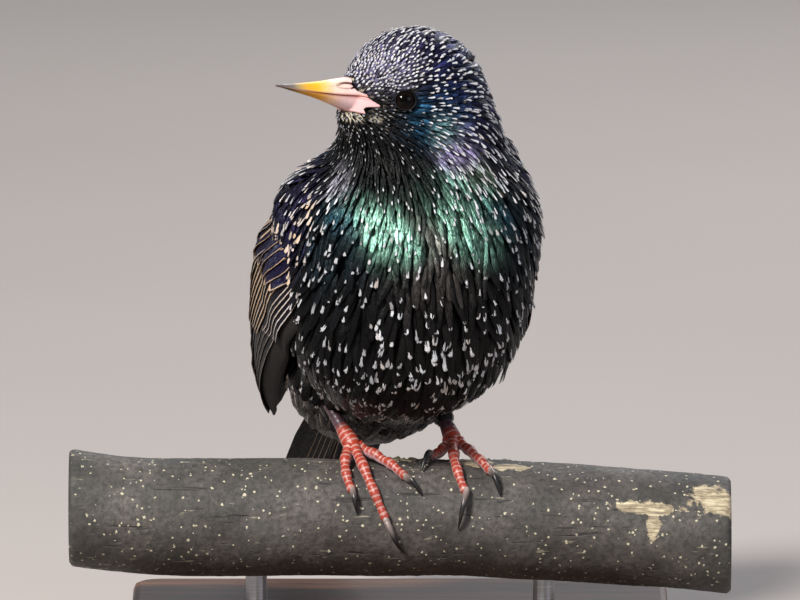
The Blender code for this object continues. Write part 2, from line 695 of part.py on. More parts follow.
def make_perch(mats):
    around = 32
    inner = PERCH_HALF_LENGTH - PERCH_ROUND
    x = np.concatenate([[-PERCH_HALF_LENGTH], np.linspace(-inner, inner, 11), [PERCH_HALF_LENGTH]])
    radius = np.full(x.shape, PERCH_RADIUS)
    radius[[0, -1]] -= PERCH_ROUND
    turn = np.arange(around) * 2.0 * math.pi / around
    rings = np.stack(np.broadcast_arrays(
        x[:, None], radius[:, None] * np.cos(turn),
        perch_centre(x)[:, None] + radius[:, None] * np.sin(turn)), -1)
    ends = [np.array([v, 0.0, float(perch_centre(v))]) for v in (x[0], x[-1])]
    return add_tube("perch", rings, ends[0], ends[1], mats["bark"])


def make_stand(mats, perch):
    """A flat base and two rods; each rod sits in a blind hole in the base and in the perch."""
    bpy.ops.mesh.primitive_cube_add(size=1.0, location=(0.0, 0.0, 0.5 * BASE_THICKNESS * MM))
    base = bpy.context.object
    base.name = "stand_base"
    base.data.name = "stand_base"
    base.data.transform(scaling(BASE_LENGTH * MM, BASE_DEPTH * MM, BASE_THICKNESS * MM))
    corners = base.data.attributes.new("bevel_weight_edge", "FLOAT", "EDGE")
    for edge in base.data.edges:
        a, b = (base.data.vertices[i].co for i in edge.vertices)
        upright = abs(a.z - b.z) > 0.5 * BASE_THICKNESS * MM
        corners.data[edge.index].value = 1.0 if upright else 0.0
    round_corners = base.modifiers.new("corners", "BEVEL")
    round_corners.limit_method = "WEIGHT"
    round_corners.width = BASE_CORNER * MM
    round_corners.segments = 5
    edges = base.modifiers.new("edges", "BEVEL")
    edges.limit_method = "ANGLE"
    edges.angle_limit = math.radians(50.0)
    edges.width = BASE_EDGE * MM
    edges.segments = 2
    base.data.materials.append(mats["stained_wood"])
    floor = -PERCH_TOP
    base_top = floor + BASE_THICKNESS
    for name, x in (("left", -0.5 * ROD_SPACING), ("right", 0.5 * ROD_SPACING)):
        low = base_top - ROD_IN_BASE
        high = float(perch_centre(x)) - PERCH_RADIUS + ROD_IN_PERCH
        add_cylinder("stand_rod_" + name, x, low, high, ROD_RADIUS, mats["steel"])
        wide = ROD_RADIUS + GAP
        cut(base, add_cylinder("base_hole_" + name, x, low - GAP, base_top + 2.0, wide, mats["steel"]))
        under = float(perch_centre(x)) - PERCH_RADIUS - 3.0
        cut(perch, add_cylinder("perch_hole_" + name, x, under, high + GAP, wide, mats["steel"]))


def scaling(x, y, z):
    return Matrix.Diagonal((x, y, z, 1.0))


def main():
    for old in list(bpy.data.objects):
        bpy.data.objects.remove(old, do_unlink=True)
    mats = {}
    rough = {"eye": 0.08, "bill": 0.35, "claw": 0.35, "steel": 0.35, "stained_wood": 0.4, "bark": 0.85}
    for name, color in COLORS.items():
        mats[name] = surface_of(name, color, rough.get(name, 0.55), 1.0 if name == "steel" else 0.0)
    trunk, skull = make_flesh(mats)
    make_wings(mats)
    make_tail(mats, trunk)
    make_bill(mats)
    make_eyes(mats, skull)
    make_feet(mats, trunk)
    make_stand(mats, make_perch(mats))


main()
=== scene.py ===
"""Perched starling: skin, plumage, bill, eyes, feet, perch and stand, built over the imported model.

Lengths in the tables are millimetres in the bird's own frame, whose zero is on top of the perch:
+Z up, +Y away from the viewer. They are turned into metres when a mesh is made.
"""

import math
from functools import lru_cache

import bpy
import numpy as np
from bpy.props import FloatProperty, IntProperty, PointerProperty
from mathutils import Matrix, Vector


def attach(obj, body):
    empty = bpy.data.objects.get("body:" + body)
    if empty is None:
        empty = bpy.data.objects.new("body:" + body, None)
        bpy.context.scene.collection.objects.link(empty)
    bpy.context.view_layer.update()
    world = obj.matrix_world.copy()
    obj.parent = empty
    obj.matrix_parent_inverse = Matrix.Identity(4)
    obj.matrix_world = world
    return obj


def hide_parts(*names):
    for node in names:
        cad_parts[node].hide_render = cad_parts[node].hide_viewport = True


bl_info = {
    "name": "Perched starling",
    "version": (1, 0, 0),
    "blender": (4, 5, 0),
    "location": "View3D > Sidebar > Starling",
    "description": "Builds a life-size starling on a perch with a display stand",
    "category": "Add Mesh",
}

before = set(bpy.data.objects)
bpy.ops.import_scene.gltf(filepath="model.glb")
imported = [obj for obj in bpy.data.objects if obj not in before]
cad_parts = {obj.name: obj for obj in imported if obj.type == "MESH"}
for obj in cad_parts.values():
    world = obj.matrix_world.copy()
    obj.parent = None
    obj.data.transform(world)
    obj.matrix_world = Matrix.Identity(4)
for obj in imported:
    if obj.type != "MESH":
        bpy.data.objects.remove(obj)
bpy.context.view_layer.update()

MM = 0.001
UP = np.array([0.0, 0.0, 1.0])

# ---------------------------------------------------------------- the part's own measures
PERCH_TOP = 54.0
PERCH_BACK = -8.0
PERCH_HALF_LENGTH = 92.0
PERCH_RADIUS = 16.3
PERCH_AXIS = -17.1
BODY_YAW = 16.0
HEAD_YAW = 50.0
HEAD_PITCH = 10.0
BODY_X = 1.3
HEAD_AT = (2.5, -12.0, 102.6)
BLEND = 6.0
# frame, centre (forward, left, up), radii (along, across, deep), pitch in degrees
MASSES = {
    "trunk": ("body", (-9.0, 0.0, 47.0), (43.0, 28.5, 28.5), 50.0),
    "belly": ("body", (12.0, -1.2, 41.2), (29.5, 30.8, 23.0), 60.0),
    "breast": ("body", (14.0, 0.0, 66.5), (19.1, 30.6, 19.4), 40.0),
    "rump": ("body", (-24.0, -1.5, 23.4), (27.0, 23.5, 17.0), 42.0),
    "tail_root": ("body", (-44.0, 0.0, 15.0), (15.0, 11.5, 9.0), 42.0),
    "neck": ("body", (3.0, 0.0, 82.6), (18.4, 15.0, 16.9), 30.0),
    "nape": ("head", (-10.6, 0.0, -9.6), (18.0, 14.0, 14.5), 10.0),
    "cranium": ("head", (-2.0, 0.0, 5.8), (16.6, 13.0, 12.8), 0.0),
    "face": ("head", (9.5, 0.0, -3.2), (11.0, 6.2, 7.8), 0.0),
}
# The body's spine at places v from the tail's root to the crown: forward, left, up, and the tilt
# of its rings in degrees
SPINE_V = (0.0, 0.12, 0.30, 0.50, 0.65, 0.80, 1.0)
SPINE_F = (-52.0, -42.0, -26.0, -6.0, 5.0, 9.5, 10.5)
SPINE_L = (0.0, 0.0, 0.0, 0.0, 0.0, -0.8, -2.0)
SPINE_Z = (11.0, 19.0, 33.0, 50.0, 67.0, 86.0, 117.0)
SPINE_TILT = (40.0, 42.0, 46.0, 58.0, 75.0, 88.0, 90.0)
# The folded wing at places s from the shoulder to its tip: forward, up, half height, distance
# from the body's middle, and thickness
WING_S = (0.0, 0.12, 0.30, 0.50, 0.70, 0.85, 1.0)
WING_F = (17.0, 8.0, -8.0, -28.0, -50.0, -66.0, -84.0)
WING_Z = (64.0, 61.0, 51.0, 37.0, 22.0, 12.0, 2.0)
WING_HALF_HEIGHT = (7.0, 17.5, 22.0, 20.0, 12.5, 7.5, 2.5)
WING_OUT = (30.0, 35.6, 37.4, 35.4, 29.5, 23.4, 15.4)
WING_THICK = (5.0, 10.0, 14.0, 13.0, 7.0, 3.0, 1.4)
WING_EDGE_THICK = 1.0
WING_OVER_BACK = 2.0
WING_GRID_S = np.linspace(0.0, 1.0, 61)[:, None]
WING_GRID_T = np.linspace(-1.0, 1.0, 41)[None, :]
TAIL_ROOT = (-47.0, 15.5)
TAIL_TIP = (-95.0, -27.0)
EYE_ALONG = 12.1
EYE_HEIGHT = -1.05
EYE_RADIUS = 3.7
EYE_SHOWS = 2.8
EYE_CLEAR = 3.3
EYE_DEPTH = math.sqrt(EYE_RADIUS**2 - EYE_SHOWS**2)
BILL_TIP = 48.3
# Bill from back to tip: along, top, line between the halves, bottom, half width. The first
# three stations lie in the face's feathers and carry the fleshy corner of the mouth.
BILL_STATIONS = np.array((
    (12.5, 2.6, -3.5, -7.0, 7.6),
    (15.0, 3.2, -3.0, -7.2, 7.2),
    (17.5, 3.6, -2.3, -7.1, 6.4),
    (21.0, 3.5, -1.5, -6.5, 4.9),
    (24.0, 3.1, -1.6, -5.8, 3.9),
    (28.0, 2.3, -1.85, -4.9, 3.0),
    (33.0, 1.2, -1.9, -3.8, 2.3),
    (38.0, 0.35, -1.85, -3.0, 1.7),
    (43.0, -0.45, -1.7, -2.35, 1.15),
    (46.5, -0.95, -1.55, -1.85, 0.75),
    (48.3, -1.2, -1.45, -1.7, 0.3),
))
PAD_RADIUS = 3.4
TOE_RADIUS = 1.35
# ball: X, angle and height over the bark. heel: top of the shank. thigh: place up the leg, half
# length and radius of its spindle of feathers. dusk: how far up the shank it turns dark,
# which is the body's shadow painted on the shank. A toe has the way it leaves the ball in degrees,
# then its end and its claw's tip as X and angle.
FEET = {
    "right": {
        "ball": (-13.3, 4.0, 4.4),
        "heel": (-24.0, 11.0, 19.8),
        "thigh": (24.0, 8.0, 5.4),
        "dusk": 0.19,
        "toes": (
            (188.0, (-12.0, -30.0), (-12.6, -58.0)),
            (72.0, (1.9, 43.5), (6.1, 60.0)),
            (20.0, (-3.6, 85.6), (1.4, 118.0)),
            (-26.0, (-13.1, 58.0), (-11.9, 78.0)),
        ),
    },
    "left": {
        "ball": (14.9, -11.0, 5.2),
        "heel": (6.3, 20.5, 21.5),
        "thigh": (26.6, 22.5, 4.4),
        "dusk": 0.04,
        "toes": (
            (176.0, (14.6, -66.0), (13.8, -94.0)),
            (-56.0, (8.6, 5.5), (5.8, 33.0)),
            (-4.0, (18.3, 58.5), (16.1, 92.0)),
            (50.0, (25.3, 34.8), (27.8, 59.0)),
        ),
    },
}

# ---------------------------------------------------------------- plumage tables
# A tract is a region of contour feathers. Columns: frame, place, reach, then in millimetres
#   space  between roots, long and wide of a feather, and 0 to 1 how far its end is a lance,
#   lobe   how far each half of the pale mark lies from the shaft (0 for a single drop),
#   broad  half width of each half, tip its length, then
#   warm   0 for a white mark, 1 for a buff one, chance that a feather has one,
#   deep   the coat is, lift of the tips, and the piece of the coat that it belongs to.
TRACT_FIELDS = ("space", "long", "wide", "point", "lobe", "broad", "tip", "warm", "chance", "deep", "lift")
TRACTS = {
    "forehead": ("head", (17, 3, 6), 5, (0.84, 2.4, 0.85, .3, 0, .28, 0.9, .15, 1.0, 0.5, .05), "face"),
    "lore": ("head", (16, 8.5, -1.6), 3.1, (0.95, 2.2, 0.9, .4, 0, .20, 0.6, .30, .00, 0.5, .00), "face"),
    "over_lore": ("head", (15.5, 7.5, 2.4), 4.5,
                  (0.78, 1.9, 0.80, .3, 0, .30, 0.8, .10, 1.0, 0.5, .03), "face"),
    "brow": ("head", (11, 8, 8), 5, (1.0, 3.0, 0.9, .5, 0, .26, 1.0, .10, .95, 0.6, .05), "face"),
    "crown_front": ("head", (9, 0, 14), 7, (1.7, 5.2, 1.30, .5, 0, .27, 1.9, .10, 1.0, 0.9, .05), "crown"),
    "crown": ("head", (-5, 0, 18), 10, (2.5, 7.4, 2.0, .5, 0, .36, 2.2, .10, 1.0, 1.2, .05), "crown"),
    "nape": ("head", (-19, 0, 6), 12, (2.6, 8.2, 2.2, .6, 0, .36, 2.2, .05, 1.0, 1.5, .12), "crown"),
    "eye_line": ("head", (3, 14.5, 1), 3, (1.4, 5.0, 1.3, .5, 0, .20, 1.1, .10, .35, 0.8, .00), "face"),
    "ear": ("head", (5, 15, -4), 5, (1.40, 5.4, 1.2, .7, 0, .24, 1.7, .00, 1.0, 0.9, .03), "face"),
    "ear_back": ("head", (-9, 17, -3), 8, (2.2, 7.8, 1.8, .6, 0, .30, 2.2, .00, 1.0, 1.4, .06), "crown"),
    "ear_low": ("head", (3, 17, -9), 5, (1.6, 6.8, 1.3, .8, 0, .25, 2.0, .00, .90, 1.2, .05), "face"),
    "gape": ("head", (17, 8, -7), 3, (0.85, 2.2, 0.7, .5, 0, .24, 0.6, .00, .90, 0.5, .03), "face"),
    "cheek": ("head", (11, 12, -10), 5, (1.15, 4.2, 0.95, .8, 0, .14, 0.6, .10, .40, 0.8, .05), "face"),
    "chin": ("head", (21, 1, -9), 5, (0.90, 2.6, 0.75, .6, 0, .20, 0.7, .00, .75, 0.5, .06), "face"),
    "throat": ("head", (15, 6, -16), 8, (1.4, 6.5, 1.0, .95, 0, .15, 0.9, .10, .35, 1.2, .20), "neck"),
    "hackles": ("body", (30, 0, 86), 9, (1.8, 9.5, 1.3, .92, 0, .22, 1.3, .00, .28, 1.8, .25), "neck"),
    "neck_side": ("head", (-9, 20, -15), 8, (1.75, 8.5, 1.5, .80, 0, .26, 2.8, .00, 1.0, 1.8, .12), "neck"),
    "hind_neck": ("body", (-8, 0, 96), 12, (2.7, 9.5, 2.5, .55, 0, .42, 2.0, .20, .95, 2.0, .10), "neck"),
    "breast_top": ("body", (34, 0, 74), 11, (2.2, 10., 1.8, .70, 0, .28, 1.3, .00, .38, 2.4, .25), "breast"),
    "breast": ("body", (38, 0, 59), 12, (3.0, 13., 2.5, .60, .3, .24, 1.5, .10, .36, 3.0, .20), "breast"),
    "breast_side": ("body", (26, 25, 68), 11,
                    (3.3, 12., 2.9, .50, .12, .30, 1.7, .00, .72, 2.8, .12), "breast"),
    "belly": ("body", (35, 0, 42), 12, (3.4, 14., 3.2, .40, .38, .42, 2.4, .10, .95, 3.4, .15), "belly"),
    "belly_low": ("body", (22, 0, 22), 12, (3.6, 13., 3.4, .35, .40, .40, 1.8, .45, .72, 3.2, .15), "belly"),
    "flank": ("body", (18, 30, 42), 13, (3.7, 15., 3.4, .45, .15, .24, 2.2, .00, .70, 3.4, .30), "belly"),
    "vent": ("body", (-2, 0, 9), 9, (4.0, 13., 3.8, .25, .6, .50, 1.2, .80, .30, 3.0, .15), "rump"),
    "undertail": ("body", (-32, 0, 5), 15, (4.8, 16., 6.4, .25, 0, .60, 1.3, .80, 1.0, 2.4, .10), "rump"),
    "shoulder": ("body", (8, 32, 80), 10, (3.0, 10., 2.4, .60, 0, .26, 2.9, .15, .85, 2.6, .10), "back"),
    "shoulder_pale": ("body", (14, 25, 78.5), 5.5,
                      (2.3, 8.0, 2.1, .45, .10, .60, 2.6, .75, 1.0, 2.4, .12), "neck"),
    "scapular_pale": ("body", (12, 30.5, 72), 5.5,
                      (2.4, 8.0, 2.4, .45, .15, .70, 2.4, .80, 1.0, 2.2, .10), "back"),
    "shoulder_front": ("body", (19, 16, 84), 6,
                       (1.9, 8.5, 1.5, .80, 0, .26, 2.4, .05, .85, 2.2, .12), "neck"),
    "forewing": ("body", (0, 37, 63), 13, (2.9, 8.5, 3.2, .35, .30, .50, 1.9, .70, .95, 2.0, .08), "back"),
    "mantle": ("body", (-12, 0, 82), 16, (3.4, 12., 3.8, .40, .3, .60, 2.2, .60, .95, 2.6, .05), "back"),
    "back": ("body", (-32, 0, 62), 16, (4.0, 13., 4.6, .30, .6, .70, 1.8, .80, .90, 2.8, .05), "back"),
    "rump": ("body", (-46, 0, 36), 14, (4.0, 13., 4.4, .30, .5, .70, 1.6, .80, .80, 2.6, .05), "rump"),
}
# Tracts whose marks are greyer than the rest; on the flank and the lower belly the greying is painted shade
GREY_AND_SHADE = {
    "gape": 0.30, "cheek": 0.30, "chin": 0.50, "throat": 0.45, "lore": 0.30, "breast_side": 0.60,
    "flank": 0.75, "belly_low": 0.62, "vent": 0.45, "undertail": 0.65, "over_lore": 0.75, "forehead": 0.85,
}
# Gloss of the plumage: frame, place, reach, colour, strength. Places are mirrored left to right.
BASE_GLOSS = ("#09080b", 0.30)
GLOSS = {
    # rows named sheen or highlight paint the key light's reflection in the film, pale and bright where it
    # shines
    "forehead grey sheen": ("head", (13, 4, 9), 7, "#57536e", 0.38),
    "crown violet": ("head", (-2, 0, 17), 12, "#1f1a3e", 0.60),
    "hind crown indigo": ("head", (-8, 13, 9), 8, "#141c40", 0.65),
    "lore black": ("head", (16, 8.5, -1.8), 4, "#010101", 0.00),
    "eye line blue": ("head", (2, 14, 1), 4, "#091226", 0.50),
    "ear teal": ("head", (6, 15, -6), 5, "#1a4058", 0.70),
    "ear blue": ("head", (-3, 17, -3), 6, "#1b3054", 0.70),
    "ear back violet": ("head", (-14, 16, -3), 7, "#1a1838", 0.60),
    "neck mint highlight": ("head", (0, 18, -8), 3.5, "#6d9c92", 0.90),
    "neck lilac highlight": ("head", (-4, 19.3, -11.5), 4.5, "#8d84ab", 0.85),
    "neck magenta highlight": ("head", (-5, 21, -15), 3.5, "#7d6490", 0.85),
    "cheek black": ("head", (12, 12, -10), 5, "#08070a", 0.15),
    "throat black": ("head", (13, 6, -16), 8, "#020203", 0.15),
    "hackles black": ("body", (32, 0, 86), 9, "#000101", 0.12),
    "hackles green": ("body", (34, 6, 79), 5, "#091914", 0.50),
    "neck green highlight": ("body", (29, 19, 78), 5, "#4a6f62", 0.85),
    "breast green highlight": ("body", (34, 11.5, 68.5), 6, "#7fb09c", 0.92),
    "breast low mint highlight": ("body", (37, 8, 64.5), 3.5, "#6fa08e", 0.85),
    "neck olive highlight": ("body", (30, 23, 83.5), 4, "#5c6a58", 0.60),
    "breast middle": ("body", (37, 0, 65), 5, "#4c4a46", 0.25),
    "breast blue": ("body", (26, 21, 71.5), 5, "#17404f", 0.80),
    "breast side": ("body", (24, 28, 62), 8, "#06141a", 0.50),
    "shoulder silver highlight": ("body", (20, 16.5, 80), 4.5, "#74717c", 0.70),
    "shoulder violet": ("body", (4, 33, 80), 8, "#17122e", 0.65),
    "forewing": ("body", (-4, 37, 63), 12, "#1a1634", 0.65),
    "breast brown": ("body", (38, 0, 55), 8, "#2b2725", 0.12),
    "belly brown": ("body", (32, 0, 36), 14, "#090808", 0.12),
    "flank": ("body", (20, 30, 40), 12, "#050709", 0.30),
    # the vent's near black is partly painted shade under the body
    "vent brown and shade": ("body", (2, 0, 8), 12, "#020202", 0.05),
    "mantle green": ("body", (-14, 0, 80), 16, "#1a382f", 0.65),
    "back bronze": ("body", (-34, 0, 58), 16, "#1b1b28", 0.50),
    "undertail": ("body", (-40, 0, 4), 12, "#040305", 0.10),
}


def to_linear(code):
    """sRGB hex to linear red, green and blue."""
    c = np.array([int(code[i:i + 2], 16) / 255.0 for i in (1, 3, 5)])
    return np.where(c <= 0.04045, c / 12.92, ((c + 0.055) / 1.055) ** 2.4)


def rgba(code):
    """sRGB hex to a linear colour with an alpha of one."""
    return tuple(to_linear(code)) + (1.0,)


def banded(a, bands):
    """Colour at places a along bands of (place, hex), with an alpha of one."""
    colours = np.array([rgba(code) for _, code in bands])
    return np.stack([np.interp(a, [place for place, _ in bands], row) for row in colours.T], -1)


def unit(v):
    """Vectors made one long."""
    return v / np.maximum(np.linalg.norm(v, axis=-1, keepdims=True), 1e-9)


def circle(count):
    """Angles of even steps round a ring."""
    return np.arange(count) * 2.0 * math.pi / count


def stained(colours, code, amount):
    """Colours mixed with one more, as far as amount says."""
    return colours * (1.0 - amount) + np.array(rgba(code)) * amount


def eased(x):
    """0 up to 1 between the same inputs, level at both ends."""
    x = np.clip(x, 0.0, 1.0)
    return x * x * (3.0 - 2.0 * x)


# ---------------------------------------------------------------- frames and the body's outline
def turned(degrees):
    """Forward and left unit vectors of a frame yawed from the viewer towards +X."""
    a = math.radians(degrees)
    return np.array([math.sin(a), -math.cos(a), 0.0]), np.array([math.cos(a), math.sin(a), 0.0])


def pitched(forward, left, degrees):
    """Rows along, left and up of a frame lifted by a pitch angle."""
    a = math.radians(degrees)
    along = math.cos(a) * forward + math.sin(a) * UP
    return np.stack([along, left, -math.sin(a) * forward + math.cos(a) * UP])


FORWARD, LEFT = turned(BODY_YAW)
FACING, FACE_LEFT = turned(-HEAD_YAW)
HEAD_ROWS = pitched(FACING, FACE_LEFT, HEAD_PITCH)
BODY_ROWS = np.stack([FORWARD, LEFT, UP])
ORIGIN = {"body": np.array([BODY_X, 0.0, 0.0]), "head": np.array(HEAD_AT)}
ROWS = {"body": BODY_ROWS, "head": HEAD_ROWS}


def placed(which, a, l, u):
    """Points of the body's or head's frame in the bird's frame; the inputs can be arrays."""
    a, l, u = np.broadcast_arrays(np.asarray(a, float), l, u)
    return ORIGIN[which] + np.stack([a, l, u], -1) @ ROWS[which]


def local(which, p):
    """Points of the bird's frame in the body's or head's frame."""
    return (p - ORIGIN[which]) @ ROWS[which].T


def mass_entry(which, centre, radii, pitch):
    """Centre, radii and axes of an ellipsoid."""
    forward, left = (FORWARD, LEFT) if which == "body" else (FACING, FACE_LEFT)
    lift = pitch if which == "body" else pitch + HEAD_PITCH
    return placed(which, *centre), np.array(radii), pitched(forward, left, lift)


def ellipsoid_distance(p, centre, radii, rows):
    """Distance to an ellipsoid: its implicit value over the value's slope, negative inside."""
    q = (p - centre) @ rows.T
    k0 = np.sqrt(((q / radii) ** 2).sum(-1))
    k1 = np.sqrt(((q / radii**2) ** 2).sum(-1))
    return k0 * (k0 - 1.0) / np.maximum(k1, 1e-9)


def perch_centre(x):
    """Height of the perch's axis at X."""
    return PERCH_AXIS - 0.0006 * np.clip(x, 0.0, None) ** 2 + 0.0021 * np.clip(-x - 55.0, 0.0, None) ** 2


def on_perch(x, degrees, height):
    """Point over the bark; the angle runs from the top of the perch down its front."""
    x, degrees, height = np.broadcast_arrays(np.asarray(x, float), degrees, height)
    a = np.radians(degrees)
    r = PERCH_RADIUS + height
    return np.stack([x, -r * np.sin(a), perch_centre(x) + r * np.cos(a)], -1)


TABLE = [mass_entry(*mass) for mass in MASSES.values()]
# What the feathers add to the solids' masses, and how softly each one joins: a hood over the
# bill's base, the forehead, the chin, then shoulders, the neck's foot and flanks round the wings.
ADDED = [(mass_entry(*mass), soft) for mass, soft in (
    (("head", (18.5, 0.0, 2.2), (6.6, 3.6, 2.6), 0.0), 1.2),
    (("head", (13.0, 0.0, 6.6), (7.0, 6.0, 5.0), -30.0), 3.0),
    (("head", (18.6, 0.0, -9.0), (6.2, 3.0, 3.2), 14.0), 1.6),
    (("body", (4.0, 24.0, 66.0), (17.0, 13.4, 20.8), 20.0), 6.0),
    (("body", (-1.0, -20.5, 69.3), (14.0, 17.0, 15.0), 20.0), 8.0),
    (("body", (0.0, 23.2, 83.4), (12.0, 8.4, 5.8), 20.0), 3.0),
    (("body", (-2.0, 20.0, 48.0), (23.0, 12.6, 19.0), 30.0), 8.0),
    (("body", (-2.0, -20.5, 50.0), (25.0, 15.5, 24.0), 30.0), 8.0),
)]
# and a spindle of feathers round each shank's upper part
for foot in FEET.values():
    low_end = on_perch(*foot["ball"])
    thigh_way = unit(np.array(foot["heel"]) - low_end)
    thigh_side = unit(np.cross(thigh_way, UP))
    up_leg, thigh_long, thigh_wide = foot["thigh"]
    ADDED.append(((low_end + up_leg * thigh_way, np.array((thigh_long, thigh_wide, thigh_wide)),
                   np.stack([thigh_way, thigh_side, np.cross(thigh_way, thigh_side)])), 4.0))


def field(p):
    """Distance to the plumage: a smooth minimum of the ellipsoids' distances, negative inside."""
    near = np.stack([ellipsoid_distance(p, *mass) for mass in TABLE])
    low = near.min(0)
    value = low - BLEND * np.log(np.exp(-(near - low) / BLEND).sum(0))
    for mass, soft in ADDED:
        extra = ellipsoid_distance(p, *mass)
        mixed = np.clip(0.5 + 0.5 * (value - extra) / soft, 0.0, 1.0)
        value = value + (extra - value) * mixed - soft * mixed * (1.0 - mixed)
    return value


CORNERS = np.array(((1.0, -1.0, -1.0), (-1.0, -1.0, 1.0), (-1.0, 1.0, -1.0), (1.0, 1.0, 1.0)))


def outward(p):
    """Unit gradient of the field, from its differences over a small tetrahedron."""
    return unit(sum(field(p + 0.1 * corner)[..., None] * corner for corner in CORNERS))


def settled(p, height, rounds=2):
    """Points slid along the gradient until the field has the wanted value."""
    for _ in range(rounds):
        p = p + (height - field(p))[..., None] * outward(p)
    return p


def outermost(start, direction, reach, step=1.0):
    """Distance along each ray to the last place where it leaves the body."""
    t = np.arange(0.0, reach, step)
    inside = field(start[..., None, :] + t[:, None] * direction[..., None, :]) < 0.0
    last = np.where(inside.any(-1), inside.shape[-1] - 1 - inside[..., ::-1].argmax(-1), 0)
    low = t[last]
    high = low + step
    for _ in range(16):
        mid = 0.5 * (low + high)
        out = field(start + mid[..., None] * direction) > 0.0
        high = np.where(out, mid, high)
        low = np.where(out, low, mid)
    return low


def spine(v):
    """Ring centre and the two axes of the ring's plane at places v along the body."""
    v = np.asarray(v, float)
    a = np.radians(np.interp(v, SPINE_V, SPINE_TILT))[..., None]
    centre = placed("body", *[np.interp(v, SPINE_V, row) for row in (SPINE_F, SPINE_L, SPINE_Z)])
    return centre, np.sin(a) * FORWARD - np.cos(a) * UP, np.cos(a) * FORWARD + np.sin(a) * UP


@lru_cache(maxsize=None)
def outline_grid(rows, around):
    """Points where rays round the spine leave the plumage, from the tail's root to the crown.

    Between v = 0 and 0.93 the rows are spaced along the spine; past its two ends the rays start
    further and further out along the end's normal, spaced as a cosine, which closes the form.
    """
    cap = rows // 7
    v = np.linspace(0.0, 0.93, rows - 2 * cap)
    ease = np.sin(np.linspace(0.0, 0.5 * math.pi, cap + 2)[1:-1])
    turn = circle(around)
    parts = []
    for place, sign, shares in ((0.0, -1.0, ease[::-1]), (None, 0.0, None), (0.93, 1.0, ease)):
        if shares is None:
            centre, down, _ = spine(v)
        else:
            centre, down, normal = spine(place)
            reach = outermost(centre[None], sign * normal[None], 60.0)[0]
            centre = centre + sign * (shares * reach)[:, None] * normal
            down = np.broadcast_to(down, centre.shape)
        rays = np.cos(turn)[:, None] * down[:, None] + np.sin(turn)[:, None] * LEFT
        start = np.broadcast_to(centre[:, None], rays.shape)
        parts.append(start + outermost(start, rays, 60.0, 1.5)[..., None] * rays)
    return np.concatenate(parts)


SPINE_SAMPLES = np.linspace(0.0, 1.0, 60)


def along_spine(p):
    """Place along the spine of the nearest of its samples."""
    centres = spine(SPINE_SAMPLES)[0]
    gap = np.linalg.norm(p[..., None, :] - centres, axis=-1)
    weight = np.exp(-(gap - gap.min(-1, keepdims=True)) / 2.0)
    return (weight * SPINE_SAMPLES).sum(-1) / weight.sum(-1)


def lie(p, normal):
    """Direction that the feathers point in, unit and in the surface.

    On the head it is away from a point inside it: ahead of the bill's base beside the bill, and
    from further back for the crown, whose feathers rise steeply. Lower down it turns into the
    direction from the neck to the tail.
    """
    up = local("head", p)[..., 2]
    start = np.interp(up, (-12.0, -5.0, 0.0, 3.0, 6.0, 14.0), (20.0, 22.5, 26.0, 25.0, 17.5, 11.2))
    away = unit(p - placed("head", start, 0.0, -4.5))
    v = along_spine(p)
    headness = eased((v - 0.68) / 0.22)[..., None]
    way = headness * away - (1.0 - headness) * spine(v)[2]
    return unit(way - (way * normal).sum(-1, keepdims=True) * normal)


def folded(p):
    """Points in both frames, folded over to the left half.

    The throat's middle line is turned after the head, so the fold moves to the right there.
    """
    body, head = local("body", p), local("head", p)
    high, front = (body[..., 2] - 62.0) / 22.0, (body[..., 0] - 5.0) / 20.0
    body[..., 1] += 13.0 * np.clip(high, 0.0, 1.0) * np.clip(front, 0.0, 1.0)
    body[..., 1], head[..., 1] = np.abs(body[..., 1]), np.abs(head[..., 1])
    return {"body": body, "head": head}


def nearness(p, table):
    """Distance from the points to each row's place, as a share of its reach."""
    q = folded(p)
    gaps = [np.linalg.norm(q[row[0]] - np.array(row[1], float), axis=-1) / row[2] for row in table.values()]
    return np.stack(gaps, -1)


def tract_values(p):
    """Feather measures at the points: each tract's numbers mixed by nearness, and the tract."""
    w = 1.0 / (nearness(p, TRACTS) ** 4.0 + 0.02)
    w /= w.sum(-1, keepdims=True)
    mixed = w @ np.array([row[3] for row in TRACTS.values()])
    return {name: mixed[..., i] for i, name in enumerate(TRACT_FIELDS)}, w.argmax(-1)


def gloss_at(p):
    """Linear colour and strength of the gloss at the points: rows mixed by nearness over a base."""
    w = np.exp(-(nearness(p, GLOSS) ** 2))
    w = np.concatenate([np.full(w[..., :1].shape, 0.12), w], -1)
    looks = [BASE_GLOSS] + [row[3:] for row in GLOSS.values()]
    rows = np.array([np.append(to_linear(code), strength) for code, strength in looks])
    return (w @ rows) / w.sum(-1, keepdims=True)


# ---------------------------------------------------------------- mesh helpers
def to_floor(points):
    """Bird's frame in millimetres to the model's frame in metres."""
    return (np.asarray(points, float) + np.array([0.0, PERCH_BACK, PERCH_TOP])) * MM


def new_object(name, data):
    """An object in the scene."""
    obj = bpy.data.objects.new(name, data)
    bpy.context.collection.objects.link(obj)
    return obj


